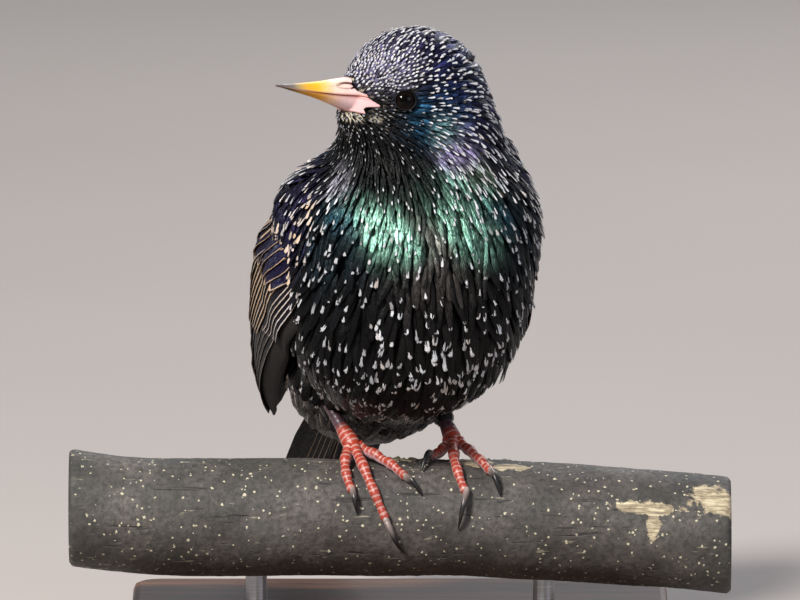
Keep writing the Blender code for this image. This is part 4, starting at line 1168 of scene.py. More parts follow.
def bark_material():
    """Smooth dark bark: grey-brown with cream lenticels, fine scratches and pale peeled wood,
    and growth rings on its sawn ends."""
    mat, tree, shader = new_material("bark_smooth_weathered")
    where = object_place(tree)
    sawn = attribute(tree, "sawn")["Fac"]
    cloud = noise_node(tree, where, 60.0, 5.0, 0.6)
    fine = noise_node(tree, where, 700.0, 6.0, 0.7)
    speck = scaled(tree, fine, 5.0, -2.1, clamp=True)
    green = scaled(tree, noise_node(tree, where, 25.0, 2.0), 0.6, -0.15, clamp=True)
    # short pale scratches and dark cracks run along the branch
    scratch = scaled(tree, stretched(tree, where, (160.0, 900.0, 900.0)), 14.0, -9.6, clamp=True)
    crack = scaled(tree, stretched(tree, where, (45.0, 520.0, 520.0), 3.0, 0.6, 0.3), 16.0, -10.2, clamp=True)
    # lenticels: pale corky dots about 0.6 mm across and 3 mm apart, with smaller and larger ones
    dots = 0.0
    ragged = scaled(tree, noise_node(tree, where, 2600.0, 3.0), 2.4, -0.2)
    for scale, size, least in ((480.0, 0.15, 0.48), (310.0, 0.12, 0.47), (120.0, 0.062, 0.53)):
        cell = add_node(tree, "ShaderNodeTexVoronoi", {"Vector": where}, in_Scale=scale, in_Randomness=1.0)
        keep = math_node(tree, "GREATER_THAN", noise_node(tree, where, 0.45 * scale, 1.0), least)
        inside = math_node(tree, "LESS_THAN", cell.outputs["Distance"], times(tree, ragged, size))
        dots = math_node(tree, "MAXIMUM", dots, times(tree, inside, keep))
    base = ramp(tree, cloud, [(0.28, "#272322"), (0.45, "#403a38"), (0.62, "#57504d"), (0.8, "#736a65")])
    for mask, share, code in ((speck, 0.75, "#1c1a19"), (green, 1.0, "#40443a"), (scratch, 0.7, "#8f8874"),
                              (crack, 0.8, "#171413"), (dots, 0.85, "#beb69c")):
        base = mix_colour(tree, times(tree, mask, share), base, code)
    fibre = stretched(tree, where, (120.0, 1500.0, 1500.0), 3.0, 0.6)
    wood = ramp(tree, fibre, [(0.25, "#4f463a"), (0.5, "#97896f"), (0.75, "#cfc3a6")])
    worn = scaled(tree, noise_node(tree, where, 260.0, 5.0, 0.65, 0.4), 1.7, -0.85)
    peeled = math_node(tree, "ADD", attribute(tree, "peel")["Fac"], worn)
    peeled = times(tree, math_node(tree, "SUBTRACT", peeled, 0.45), 9.0, clamp=True)
    ring = math_node(tree, "SINE", times(tree, sawn, 5.2))
    cut_wood = ramp(tree, scaled(tree, ring, 0.3, 0.5), [(0.2, "#8a6a48"), (0.8, "#c9a878")])
    cut = math_node(tree, "GREATER_THAN", sawn, 0.01)
    relief = scaled(tree, cloud, 0.5, scaled(tree, dots, 0.7, fine))
    relief = math_node(tree, "SUBTRACT", relief, times(tree, crack, 0.8))
    colour = mix_colour(tree, cut, mix_colour(tree, peeled, base, wood), cut_wood)
    set_shader(tree, shader, Base_Color=colour, Roughness=scaled(tree, fine, 0.3, 0.5),
               Normal=bump(tree, relief, 0.6, 0.0005))
    return mat


def wood_material():
    """Walnut board, sawn, sanded and oiled: long grain lines and a low, even sheen."""
    mat, tree, shader = new_material("walnut_oiled")
    where = object_place(tree)
    grain = stretched(tree, where, (14.0, 190.0, 190.0), 5.0, 0.62, 0.6)
    pores = stretched(tree, where, (120.0, 2200.0, 2200.0), 2.0, 0.7)
    colour = ramp(tree, grain, [(0.25, "#2a1a10"), (0.45, "#4a2e1c"), (0.6, "#6a442a"), (0.8, "#855a38")])
    colour = mix_colour(tree, scaled(tree, pores, 1.2, -0.45, clamp=True), colour, "#22140c")
    set_shader(tree, shader, Base_Color=colour, Roughness=scaled(tree, pores, 0.2, 0.32),
               Normal=bump(tree, pores, 0.2, 0.0001))
    return mat


def steel_material():
    """Ground steel rod: fine lines round it blur its reflections along its length."""
    mat, tree, shader = new_material("steel_ground")
    line = stretched(tree, object_place(tree), (150.0, 150.0, 9000.0), 2.0, 0.6)
    set_shader(tree, shader, Base_Color=ramp(tree, line, [(0.3, "#8d8f92"), (0.7, "#b9bbbe")]),
               Roughness=scaled(tree, line, 0.2, 0.25), Metallic=1.0)
    return mat


def floor_material():
    """Matt warm grey paint, a little cloudy, with no highlight."""
    mat, tree, shader = new_material("floor_matt_paint")
    cloud = noise_node(tree, object_place(tree), 3.0, 3.0)
    set_shader(tree, shader, Base_Color=mix_colour(tree, cloud, "#a39b97", "#aaa29d"), Roughness=0.9)
    return mat


@lru_cache(maxsize=None)
def material(name):
    """Each material is made once, when a piece first asks for it."""
    makers = {
        "plumage": lambda: plumage_material("feather_keratin_glossy", 0.85, 0.24, 0.85),
        "flight": lambda: plumage_material("flight_feather_keratin", 0.55, 0.34, 0.8),
        "skin": skin_material,
        "scutes": scute_material,
        "bill": lambda: horn_material("bill_horn_polished", 0.28, 1500.0),
        "claw": lambda: horn_material("claw_horn", 0.26, 1800.0),
        "eye": eye_material,
        "lid": lid_material,
        "bark": bark_material,
        "wood": wood_material,
        "steel": steel_material,
        "floor": floor_material,
    }
    return makers[name]()


# ---------------------------------------------------------------- skin and legs
def toe_path(ball, start_deg, end, count):
    """Curve over the bark from the ball of the foot to the toe's end, as (X, angle) pairs."""
    per_degree = math.radians(1.0) * PERCH_RADIUS
    a = math.radians(start_deg)
    ahead = np.array([math.sin(a), math.cos(a) / per_degree])
    start = ball[:2] + (PAD_RADIUS - 1.6) * ahead
    end = np.array(end, float)
    bend = start + 0.45 * np.linalg.norm((end - start) * (1.0, per_degree)) * ahead
    u = np.linspace(0.0, 1.0, count)[:, None]
    return (1 - u) ** 2 * start + 2 * u * (1 - u) * bend + u * u * end


SCUTE = 1.75
LEG_AROUND = 20
TOE_ROWS = 70
# the shank's radius, from inside the ball of the foot up to the heel
SHANK_U = (-0.14, -0.10, -0.04, 0.06, 0.16, 0.28, 0.5, 0.8, 1.0)
SHANK_RADIUS = (0.3, 1.6, 2.5, 2.75, 2.4, 1.95, 1.6, 1.85, 2.3)


def swept(path, up, turn, high, wide):
    """Rings round a path: high along the normal nearest to up, wide across it."""
    across, top = path_frames(path, up)
    return (path[:, None] + (high * np.cos(turn))[..., None] * top[:, None]
            + (wide * np.sin(turn))[..., None] * across[:, None])


def off_perch(x, degrees):
    """Unit way out of the bark."""
    return on_perch(x, degrees, 1.0) - on_perch(x, degrees, 0.0)


def scaly_tube(parts, path, radii, up, dusk, start=0.0, flat=1.0, relief=0.16):
    """A tube with plates over its upper side and pads under it.

    The radius gains a sawtooth along the path on the upper side, one tooth to a plate, and a
    row of swellings underneath. The map named scale counts plates along the tube, and runs from
    0 on the upper middle to 1 on the lower middle.
    """
    turn = circle(LEG_AROUND)
    steps = np.linalg.norm(np.diff(path, axis=0), axis=1)
    phase = (np.concatenate([[0.0], np.cumsum(steps)]) + start) / SCUTE
    upper = np.clip(np.cos(turn), 0.0, 1.0)[None, :] ** 0.5
    lower = np.clip(-np.cos(turn), 0.0, 1.0)[None, :]
    swell = relief * upper * (np.sin(math.pi * (phase % 1.0)[:, None]) ** 0.6 - 0.5)
    swell = swell + 0.22 * lower * np.abs(np.sin(math.pi * phase * 0.5))[:, None]
    r = np.asarray(radii)[:, None] + swell
    share = np.broadcast_to(0.5 - 0.5 * np.cos(turn), r.shape)
    uv = np.stack([np.broadcast_to(phase[:, None], r.shape), share], -1)
    dusk = np.broadcast_to(np.asarray(dusk, float), len(path))[:, None]
    parts.tube(swept(path, up, turn, r, flat * r), kind=1, flip=True, scale=uv, dusk=dusk)


def leg_parts(parts, spec):
    """Shank and four toes of one foot; the shank spreads into the ball of the foot."""
    ball = on_perch(*spec["ball"])
    u = np.linspace(SHANK_U[0], 1.0, 90)
    path = ball + u[:, None] * (np.array(spec["heel"]) - ball)
    # painted shadow: the shank turns dark above this place, where the body's shade falls on it
    dusk = np.clip((u - spec["dusk"]) / 0.12, 0.0, 1.0)
    front = np.array([0.0, -1.0, 0.35])
    scaly_tube(parts, path, np.interp(u, SHANK_U, SHANK_RADIUS), front, dusk, relief=0.14, flat=0.92)
    t = np.linspace(0.0, 1.0, TOE_ROWS)
    radii = TOE_RADIUS * (1.12 - 0.26 * t) * (1.0 + 0.11 * np.cos(t * 6.0 * math.pi + 0.4))
    radii *= np.minimum(1.0, ((1.0 - t) / 0.05 + 0.02)) ** 0.4
    drop = (spec["ball"][2] - 1.7) * (1.0 - t) ** 2.3
    for start_deg, end, _ in spec["toes"]:
        x, degrees = toe_path(spec["ball"], start_deg, end, TOE_ROWS).T
        path = on_perch(x, degrees, radii * 0.93 + 0.12 + drop)
        scaly_tube(parts, path, radii, off_perch(x, degrees), 0.12 * t, start=0.4 * SCUTE)


def make_skin():
    """One skin for head, neck, trunk, thighs and legs, with the lids round the eyes.

    The feathered part is the outline's grid sunk along the gradient by the depth of the coat.
    """
    parts = Parts()
    grid = outline_grid(130, 120)
    skin = settled(grid, -(0.75 * tract_values(grid)[0]["deep"] + 0.25))
    # the skin's tint carries the painted highlights of the gloss rows too
    tint = gloss_at(grid)
    tint[..., :3] *= 0.6
    parts.tube(skin, kind=0, flip=True, tint=tint)
    for side in (1.0, -1.0):
        lid_ring(parts, side)
    for spec in FEET.values():
        leg_parts(parts, spec)
    return parts.build("skin", (material("skin"), material("scutes"), material("lid")), uv=("scale",)), skin


def lid_ring(parts, side):
    """Eyelids: a soft ring round the shown part of the eye, flatter above than below.

    The ring's radius, width and height over the eyeball change with the angle; its section is
    an ellipse. It is given as a tube whose two ends meet.
    """
    centre, look = eye_centre(side)
    forward = unit(HEAD_ROWS[0] - (HEAD_ROWS[0] @ look) * look)
    top = np.cross(look, forward) * side
    turn, section = circle(64), circle(12)
    opening = EYE_SHOWS - 0.12 - 0.22 * np.clip(np.sin(turn), 0.0, 1.0) + 0.08 * np.cos(2.0 * turn)
    swell = (0.20 + 0.04 * np.sin(turn))[:, None] * (1.0 + np.cos(section))
    height = EYE_DEPTH + 0.25 + 0.42 * np.sin(section) - 0.30 * swell
    ring = np.cos(turn)[:, None] * forward + np.sin(turn)[:, None] * top
    points = centre + (opening[:, None] + swell)[..., None] * ring[:, None] + height[..., None] * look
    parts.tube(np.concatenate([points, points[:1]]), kind=2, flip=side < 0.0)


# ---------------------------------------------------------------- bill, eyes and claws
NOSTRIL_ALONG, NOSTRIL_UP = 25.2, 0.80
CHEEK_END = 27.0
CHEEK_BLEND = 0.35


def bill_rings(is_upper, rows=190, around=160):
    """Half a bill: each ring is a half oval between the line of the mouth and the ridge or keel.

    Near the face the sides swell out to lie flush with the feathers as far as their line, and
    sink below them behind it. The nostril is a groove round a raised flap, deepest above it.
    """
    a = np.linspace(BILL_STATIONS[0, 0], BILL_TIP, rows)
    along, *columns = BILL_STATIONS.T
    top, middle, bottom, width = [curve_through(a, along, column) for column in columns]
    # the halves part by a tenth of a millimetre, less at the tip
    split = (0.05 * np.minimum(1.0, 4.0 * np.maximum(0.08, (BILL_TIP - a) / 31.0)))[:, None]
    lift, cosine = np.sin(circle(around))[None, :], np.cos(circle(around))[None, :]
    middle, width = middle[:, None], width[:, None]
    along = np.repeat(a[:, None], around, 1)
    groove = np.zeros(along.shape)
    if is_upper:
        rise = np.clip(lift, 0.0, 1.0)
        up = middle + split + (top[:, None] - middle - split) * rise**0.95
        across = width * np.abs(cosine) * (1.0 - 0.14 * rise) * (1.0 + 0.03 * (rise < 0.12))
        # polar place round the nostril's flap: 1 on its rim, the angle 90 degrees above it
        off_a = (NOSTRIL_ALONG - along) / 2.6
        off_u = (up - NOSTRIL_UP - 0.12 * (NOSTRIL_ALONG - along)) / 0.75
        ring = np.sqrt(off_a**2 + off_u**2)
        below = np.where(off_a > 0.5, 0.9, 0.2)
        side_of = np.where(off_u > 0.0, np.clip(0.75 + 0.5 * off_a, 0.3, 1.0), below)
        groove = np.exp(-(((ring - 1.0) / np.where(off_u > 0.0, 0.30, 0.22)) ** 2)) * side_of
        flap = np.clip(1.0 - ring, 0.0, 1.0) ** 0.5
        shoulder = np.exp(-(((ring - 1.9) / 0.5) ** 2)) * (off_u > 0.0)
        across = across + (0.30 * flap + 0.12 * shoulder - 0.75 * groove) * (np.abs(cosine) > 0.2)
    else:
        rise = np.clip(-lift, 0.0, 1.0)
        up = middle - split + (bottom[:, None] - middle + split) * rise**0.8
        across = 0.95 * width * np.abs(cosine) * (1.0 - 0.10 * rise)
    for sign in (1.0, -1.0):
        pick = (a < CHEEK_END)[:, None] & (cosine * sign > 0.12)
        start = placed("head", along[pick], 0.0, up[pick])
        wall = outermost(start, np.broadcast_to(sign * HEAD_ROWS[1], start.shape), 16.0, 0.5)
        wall = np.where(field(start) > 0.0, 0.0, wall)
        ahead = np.clip((along[pick] - bill_line(up[pick])) / 0.8 + 0.5, 0.0, 1.0)
        out = CHEEK_BLEND * np.log(np.exp(across[pick] / CHEEK_BLEND) + np.exp((wall + 0.15) / CHEEK_BLEND))
        near_ridge = np.clip((np.abs(np.broadcast_to(cosine, along.shape)[pick]) - 0.15) / 0.35, 0.0, 1.0)
        out = across[pick] + (out - across[pick]) * near_ridge
        sunk = np.maximum(wall - 1.3 - 1.2 * np.clip(up[pick] + 1.0, 0.0, 1.0), 0.1)
        buried = np.minimum(across[pick], sunk)
        across[pick] = ahead * out + (1.0 - ahead) * buried
    return placed("head", along, across * np.sign(np.round(cosine, 6)), up), a, rise, groove


# colours along the upper half (True) and the lower half of the bill
BILL_BANDS = {
    True: [(12.5, "#bd8684"), (18.0, "#d2a8a4"), (24.0, "#dfbcb6"), (29.0, "#e8cbb6"), (32.0, "#e8c070"),
           (34.5, "#e8b01c"), (38.0, "#dca424"), (41.0, "#a08a58"), (43.0, "#6e6762"), (48.3, "#474449")],
    False: [(12.5, "#b8827f"), (18.0, "#cfa2a4"), (26.0, "#d8b6b4"), (30.0, "#dcae84"), (33.0, "#d4922a"),
            (37.0, "#c07f10"), (41.0, "#946a16"), (43.0, "#5f4b22"), (48.3, "#37302d")],
}


def make_bill():
    """Both halves: coloured in bands along them, redder at the mouth's line and under the keel,
    and painted dark in the nostril's groove as shade."""
    pieces = []
    for name, is_upper in (("bill_upper_horn", True), ("bill_lower_horn", False)):
        rings, a, rise, groove = bill_rings(is_upper)
        rise = np.broadcast_to(rise, rings.shape[:2])[..., None]
        tint = np.repeat(banded(a, BILL_BANDS[is_upper])[:, None], rings.shape[1], 1)
        a = a[:, None, None]
        lip = np.exp(-((rise / 0.09) ** 2)) * np.clip(0.25 + (a - 19.0) / 4.0, 0.25, 0.8)
        tint = stained(tint, "#a4574c", lip)
        if not is_upper:
            keel = 4.0 * np.clip(rise - 0.86, 0.0, 1.0)
            tint = stained(tint, "#a34a42", keel * np.clip((31.0 - a) / 6.0, 0.0, 1.0))
        # painted shade in the nostril's groove, darkest under the flap's overhang
        tint = stained(tint, "#4a1c20", np.clip(groove * 1.9, 0.0, 0.95)[..., None])
        pieces.append(tube_piece(name, rings, material("bill"), tint=tint))
    return pieces


# by the angle from the eye's axis: pupil, iris and white of the eye
EYE_BANDS = [(0.0, "#020202"), (0.40, "#020202"), (0.46, "#0a0504"), (0.66, "#0f0806"), (0.80, "#040303"),
             (3.2, "#050404")]


def make_eyes():
    """Eyeballs: a sphere with the cornea's bulge in front, coloured by the angle from its axis."""
    pieces = []
    a, turn = np.linspace(0.02, math.pi - 0.02, 60), circle(48)
    radius = (EYE_RADIUS * (1.0 + 0.035 * np.exp(-(a / 0.55) ** 2)))[:, None, None]
    away, ahead = radius * np.sin(a)[:, None, None], radius * np.cos(a)[:, None, None]
    tint = np.repeat(banded(a, EYE_BANDS)[:, None], len(turn), 1)
    for name, side in (("eyeball_left", 1.0), ("eyeball_right", -1.0)):
        centre, look = eye_centre(side)
        across, top = path_frames(np.stack([centre, centre + look]), UP)
        ring = np.cos(turn)[:, None] * across[0] + np.sin(turn)[:, None] * top[0]
        pieces.append(tube_piece(name, centre + ahead * look + away * ring, material("eye"), tint=tint))
    return pieces


def make_claws():
    """Claws: a cone along an arched path, flattened sideways, pale at the root and dark ahead.

    Each piece comes with the node that it stands for.
    """
    pieces = []
    u, turn = np.linspace(-0.16, 1.0, 44), circle(18)
    bare = np.clip(u, 0.0, 1.0)
    radii = 1.22 * (1.0 - 0.88 * bare**1.7) * np.minimum(1.0, (u + 0.20) / 0.12)
    height = radii + 0.40 + 1.9 * np.sin(bare * math.pi) * (1.0 - 0.45 * bare)
    dark = np.clip((u + 0.02) / 0.42, 0.0, 1.0)[:, None]
    tint = np.repeat(stained(np.array(rgba("#8f7f7a")), "#121012", dark)[:, None], len(turn), 1)
    r = radii[:, None]
    for side, spec in FEET.items():
        for number, (start_deg, end, tip) in enumerate(spec["toes"], 1):
            start = toe_path(spec["ball"], start_deg, end, 8)[-1]
            x, degrees = (start + u[:, None] * (np.array(tip) - start)).T
            path = on_perch(x, degrees, height)
            rings = swept(path, off_perch(x, degrees), turn, 1.05 * r, 0.74 * r)
            place = "%s_%d" % (side, number)
            piece = tube_piece("claw_horn_" + place, rings, material("claw"), flip=True, tint=tint)
            pieces.append((piece, "claw_" + place))
    return pieces


# ---------------------------------------------------------------- wings and tail
def kept_off(p, least):
    """Points moved out along the gradient until they are at least this far from the body."""
    for _ in range(3):
        p = p + np.clip(least - field(p), 0.0, None)[..., None] * outward(p)
    return p


def wing_front(t):
    """Where along the wing its face comes out from under the shoulder's and flank's feathers."""
    return 0.09 + 0.07 * np.clip(-t, 0.0, 1.0) + 0.10 * np.clip(t / 0.4, 0.0, 1.0)


@lru_cache(maxsize=None)
def wing_surface(side):
    """Points and outward normals of a folded wing's outer face on an even grid (s, t).

    s runs from the shoulder to the wing's tip, and t from the lower edge (-1) to the upper (1).
    The upper edge comes in over the back.
    """
    s, t = WING_GRID_S, WING_GRID_T
    tables = (WING_F, WING_Z, WING_HALF_HEIGHT, WING_OUT)
    f0, z0, high, out = [curve_through(s, WING_S, table) for table in tables]
    slope = np.arctan(np.gradient(z0[:, 0]) / np.gradient(f0[:, 0]))[:, None]
    f = f0 - t * high * np.sin(slope)
    z = z0 + t * high * np.cos(slope)
    start = placed("body", f, 0.0, z)
    flank = outermost(start, np.broadcast_to(side * LEFT, start.shape), 60.0)
    over = np.clip(t, 0.0, 1.0) ** np.interp(s, (0.3, 0.6), (2.6, 2.0))
    over = over * np.interp(s, (0.78, 1.0), (1.0, 0.2))
    under = np.clip(-t, 0.0, 1.0) ** 2 * np.interp(s, (0.15, 0.45), (7.0, 0.0))
    tucked = 5.0 * np.clip(-2.0 * t - 1.0, 0.0, 1.0) ** 2
    under = under + tucked * np.interp(s, (0.3, 0.45, 0.8, 1.0), (0.0, 1.0, 1.0, 0.0))
    lateral = (1.0 - over) * (out - under) + over * np.minimum(out, flank + WING_OVER_BACK)
    outer = kept_off(placed("body", f, side * lateral, z), 0.8 + WING_EDGE_THICK)
    # the front of the wing dives under the feathers of the shoulder and the flank
    dive = eased(1.0 - (s - wing_front(t)) / 0.15)[..., None]
    outer = outer + dive * (settled(outer, -1.6, 3) - outer)
    normal = side * np.cross(np.gradient(outer, axis=0), np.gradient(outer, axis=1))
    return outer, unit(normal)


def on_wing(side, s, t):
    """Point and normal of the wing's outer face at any (s, t), between its grid's points."""
    outer, normal = wing_surface(side)
    i = np.clip(s, 0.0, 1.0) * (outer.shape[0] - 1)
    j = np.clip(0.5 * (t + 1.0), 0.0, 1.0) * (outer.shape[1] - 1)
    i0 = np.minimum(i.astype(int), outer.shape[0] - 2)
    j0 = np.minimum(j.astype(int), outer.shape[1] - 2)
    x, y = (i - i0)[..., None], (j - j0)[..., None]
    point, way = [(1 - x) * (1 - y) * g[i0, j0] + x * (1 - y) * g[i0 + 1, j0] + (1 - x) * y * g[i0, j0 + 1]
                  + x * y * g[i0 + 1, j0 + 1] for g in (outer, normal)]
    return point, unit(way)


def wing_shell(side):
    """The wing's flesh and feather bases as one closed sheet under the vanes."""
    s = np.linspace(0.10, 0.985, 60)[:, None]
    t = (1.0 - 2.0 * np.linspace(1.0, 0.0, 36) ** 1.35)[None, :] * 0.97
    s, t = np.broadcast_arrays(s, t)
    outer, normal = on_wing(side, s, t)
    thick = np.minimum(curve_through(s, WING_S, WING_THICK), 3.4)
    edge = np.maximum(np.abs(t) ** 3, np.clip(1.0 - (s - 0.1) / 0.06, 0.0, 1.0))
    depth = 0.5 + (thick - 0.5) * (1.0 - edge)
    top = outer - 0.60 * normal
    return np.concatenate([top, (top - depth[..., None] * normal)[:, ::-1]], 1)


QUILL_THICK = 0.14
QUILL_RAGGED = 0.02
TAIL_RAGGED = 0.015
QUILL_ROWS = np.array([0.0, 0.10, 0.22, 0.34, 0.46, 0.58, 0.69, 0.79, 0.87, 0.93, 0.97, 1.0])
QUILL_COLS = np.array([-1.0, -0.86, -0.55, -0.25, 0.0, 0.25, 0.55, 0.86, 1.0])
# Flight feathers and coverts in rows. Each row: how many, then for the first and last feather
# root (s, t), tip (s, t), full width and height over the face; then how far a lance, the rim of
# the pale edge and the depth of the pale end in mm, colour, gloss, warm, and whether only the
# outer vane has the rim.
WING_ROWS = {
    "primary": (
        11, ((0.20, -0.66), (0.97, -0.42), 5.6, 0.00), ((0.20, 0.30), (0.76, 0.88), 6.6, 0.45),
        .30, .28, .30, "#17171c", .20, .50, True),
    "primary_covert": (
        5, ((0.12, -0.68), (0.36, -0.74), 4.0, 0.50), ((0.12, -0.42), (0.42, -0.42), 4.6, 0.60),
        .25, .35, .50, "#100e16", .35, .35, True),
    "secondary": (
        9, ((0.13, -0.32), (0.50, -0.22), 5.0, 0.55), ((0.13, 0.45), (0.60, 0.44), 5.8, 0.95),
        .15, .55, .60, "#141112", .25, .90, True),
    "tertial": (
        4, ((0.13, 0.52), (0.66, 0.54), 7.2, 1.00), ((0.13, 0.90), (0.58, 0.93), 8.0, 1.30),
        .20, .60, .65, "#131116", .40, .90, False),
    "greater_covert": (
        9, ((0.10, -0.36), (0.25, -0.30), 4.6, 1.00), ((0.16, 0.92), (0.42, 0.84), 6.0, 1.45),
        .35, .30, 1.50, "#1a1636", .60, .80, False),
}


def two_sided(grid, normal, columns):
    """The vanes' grid with its underside: columns that run right round each feather."""
    back = np.arange(len(columns) - 2, 0, -1)
    shaft = QUILL_THICK * (1.0 + 1.6 * np.exp(-((columns[back] / 0.12) ** 2)))
    under = grid[:, :, back] - shaft[:, None] * normal[:, :, None]
    return np.concatenate([grid, under], 2), np.concatenate([np.arange(len(columns)), back])


def vane_sheet(path, across, tangent, half, pull, cols):
    """Vanes' points: spread across from their paths, with the ends' edges drawn back."""
    spread = (cols * half)[..., None] * across[:, :, None]
    return path[:, :, None] + spread - pull[..., None] * tangent[:, :, None]


def quill_grid(side, roots, tips, wide, height, point, rng, rows, cols):
    """Vane grids that lie on the wing's face from (s, t) roots to (s, t) tips."""
    a, b = rows[None, :, None], cols[None, None, :]
    s, t = [root[:, None] + rows * (tip - root)[:, None] for root, tip in zip(roots.T, tips.T)]
    path, normal = on_wing(side, s, t)
    tangent = unit(np.gradient(path, axis=1))
    long = np.linalg.norm(np.diff(path, axis=1), axis=-1).sum(1)
    normal = unit(normal - (normal * tangent).sum(-1, keepdims=True) * tangent)
    half, pull, long3 = vane_outline(long, wide, point, rng, QUILL_RAGGED, rows, cols)
    # each feather is tilted, so that its lower edge lies over the one below it
    lift = height[:, None, None] - 0.55 + 0.35 * a
    bend = lift + 0.05 * half * (1.0 - b * b) - 0.36 * side * b + 0.04 * half * (np.abs(b) < 0.08)
    grid = vane_sheet(path, np.cross(normal, tangent), tangent, half, pull, cols)
    grid = grid + bend[..., None] * normal[:, :, None]
    return grid, normal, half, b * half, (1.0 - a) * long3 + 0.4 * np.clip(pull, 0.0, None)


def quill_set(grid, normal, x, back, pale, colours, tips, roots, rng, cols):
    """What feather_piece joins: two-sided grid, colours, marks, map and places of a row."""
    ring, order = two_sided(grid, normal, cols)
    shape = ring.shape[:3]
    tint = colours[:, None, None] * np.ones(shape + (1,))
    tip = np.ones(shape + (4,))
    tip[..., :3] = tips[:, None, None]
    tip[..., 3] = rng.random((shape[0], 1, 1))
    uv = np.stack(np.broadcast_arrays(x, BARB_SHIFT * rng.random((shape[0], 1, 1)) - back), -1)
    return ring, tint, tip, np.broadcast_to(pale, x.shape)[:, :, order], uv[:, :, order], roots


def feather_piece(name, sets, mat):
    """One object from sets of two-sided vanes."""
    grid, tint, tips, pale, uv, bake = [np.concatenate([s[i] for s in sets]) for i in range(6)]
    values = {"tint": tint, "tips": tips, "pale": pale}
    return add_vanes(name, grid, values, uv, fitted(bake), mat, closed=True)


def make_wing(side, settings):
    """One wing: a closed shell, and over it the rows of flight feathers and coverts."""
    rng = np.random.default_rng(settings.seed + (20 if side > 0.0 else 40))
    name = "left" if side > 0.0 else "right"
    shell = wing_shell(side)
    grey = np.broadcast_to(np.append(to_linear("#2a2726"), 0.1), shell.shape[:2] + (4,))
    base = tube_piece("wing_shell_" + name, shell, material("skin"), flip=side > 0.0, tint=grey,
                      pale=np.zeros(shell.shape[:2]))
    rows, cols = QUILL_ROWS, QUILL_COLS
    sets = []
    for count, first, last, point, rim, end, code, gloss, warm, outer_only in WING_ROWS.values():
        k = np.linspace(0.0, 1.0, count)[:, None]
        ends = [[np.atleast_2d(value) for value in pair] for pair in zip(first, last)]
        roots, tips, wide, height = [(1 - k) * p + k * q for p, q in ends]
        height = height[:, 0] + 0.04 * rng.standard_normal(count)
        point = np.full(count, point)
        grid, normal, half, x, back = quill_grid(side, roots, tips, wide[:, 0], height, point, rng,
                                                 rows, cols)
        edge = pale_edge(half - np.abs(x), rim)
        if outer_only:
            edge = edge * (x * side < 0.0)
        pale = np.maximum(edge, pale_edge(back + 0.45 * np.abs(x), end))
        pale = pale * np.clip((rows[None, :, None] - 0.12) / 0.1, 0.0, 1.0)
        colours = np.append(to_linear(code), gloss) * (0.7 + 0.8 * rng.random((count, 1)) ** 2)
        tip = tip_colour(np.full(count, warm), rng)
        sets.append(quill_set(grid, normal, x, back, pale, colours, tip, roots, rng, cols))
    return base, feather_piece("wing_quills_" + name, sets, material("flight"))


TAIL_LONG, TAIL_WIDE = 62.0, 7.0
TAIL_ROWS = np.array([0.0, 0.12, 0.26, 0.40, 0.54, 0.67, 0.78, 0.87, 0.93, 0.97, 1.0])
TAIL_COLS = np.array([-1.0, -0.88, -0.55, -0.25, 0.0, 0.25, 0.55, 0.88, 1.0])


def tail_frame(p, q):
    """Points of the tail's middle surface, sagging to its sides; p along, q across (-1 to 1)."""
    root, tip = np.array(TAIL_ROOT), np.array(TAIL_TIP)
    length = np.linalg.norm(tip - root)
    way = (tip - root) / length
    width = np.interp(p, (0.0, 1.0), (12.5, 13.4))
    sag = 2.2 * q * q
    reach = p * length * (1.0 - 0.02 * (1.0 - np.abs(q) ** 1.5) - 0.045 * np.abs(q) ** 4)
    f = root[0] + reach * way[0] + sag * way[1]
    z = root[1] + reach * way[1] + sag * way[0]
    return placed("body", f, q * width, z)


def make_tail(settings):
    """Twelve tail feathers in a narrow fan, with the middle pair on top.

    Neighbours don't share a plane: each is tilted a little towards the middle.
    """
    rng = np.random.default_rng(settings.seed + 60)
    k = np.arange(-5.5, 6.0)
    count = len(k)
    a, b = TAIL_ROWS[None, :, None], TAIL_COLS[None, None, :]
    q = (k / 5.5)[:, None] * (0.72 + 0.08 * TAIL_ROWS)
    along = np.broadcast_to(TAIL_ROWS, q.shape)
    path = tail_frame(along, q)
    across = tail_frame(along, q + 0.05) - path
    tangent = unit(np.gradient(path, axis=1))
    across = unit(across - (across * tangent).sum(-1, keepdims=True) * tangent)
    normal = np.cross(tangent, across)
    normal *= np.sign(normal[..., 2:3])
    outline = np.full(count, TAIL_LONG), np.full(count, TAIL_WIDE), np.full(count, 0.15)
    half, pull, long3 = vane_outline(*outline, rng, TAIL_RAGGED, TAIL_ROWS, TAIL_COLS)
    stack = (0.75 - 0.24 * np.abs(k))[:, None, None]
    bend = stack + 0.08 * half * (1.0 - b * b) + 0.10 * b * np.sign(k)[:, None, None]
    grid = vane_sheet(path, np.cross(normal, tangent), tangent, half, pull, TAIL_COLS)
    grid = grid + bend[..., None] * normal[:, :, None]
    x, back = b * half, (1.0 - a) * long3
    outer = x * k[:, None, None] > 0.0
    pale = np.maximum(pale_edge(half - np.abs(x), 0.32) * outer, pale_edge(back, 0.22) * np.ones_like(x))
    colours = np.append(to_linear("#0d0b0d"), 0.2) * (0.85 + 0.3 * rng.random((count, 1)))
    tips = tip_colour(np.full(count, 0.7), rng)
    bake = np.stack([k / 5.5, np.zeros(count)], -1)
    values = quill_set(grid, normal, x, back, pale, colours, tips, bake, rng, TAIL_COLS)
    return feather_piece("tail_quills", [values], material("flight"))


# ---------------------------------------------------------------- perch
STUB_HEIGHT = 1.3
CHAMFER = 1.2
CAP_ROWS = 20
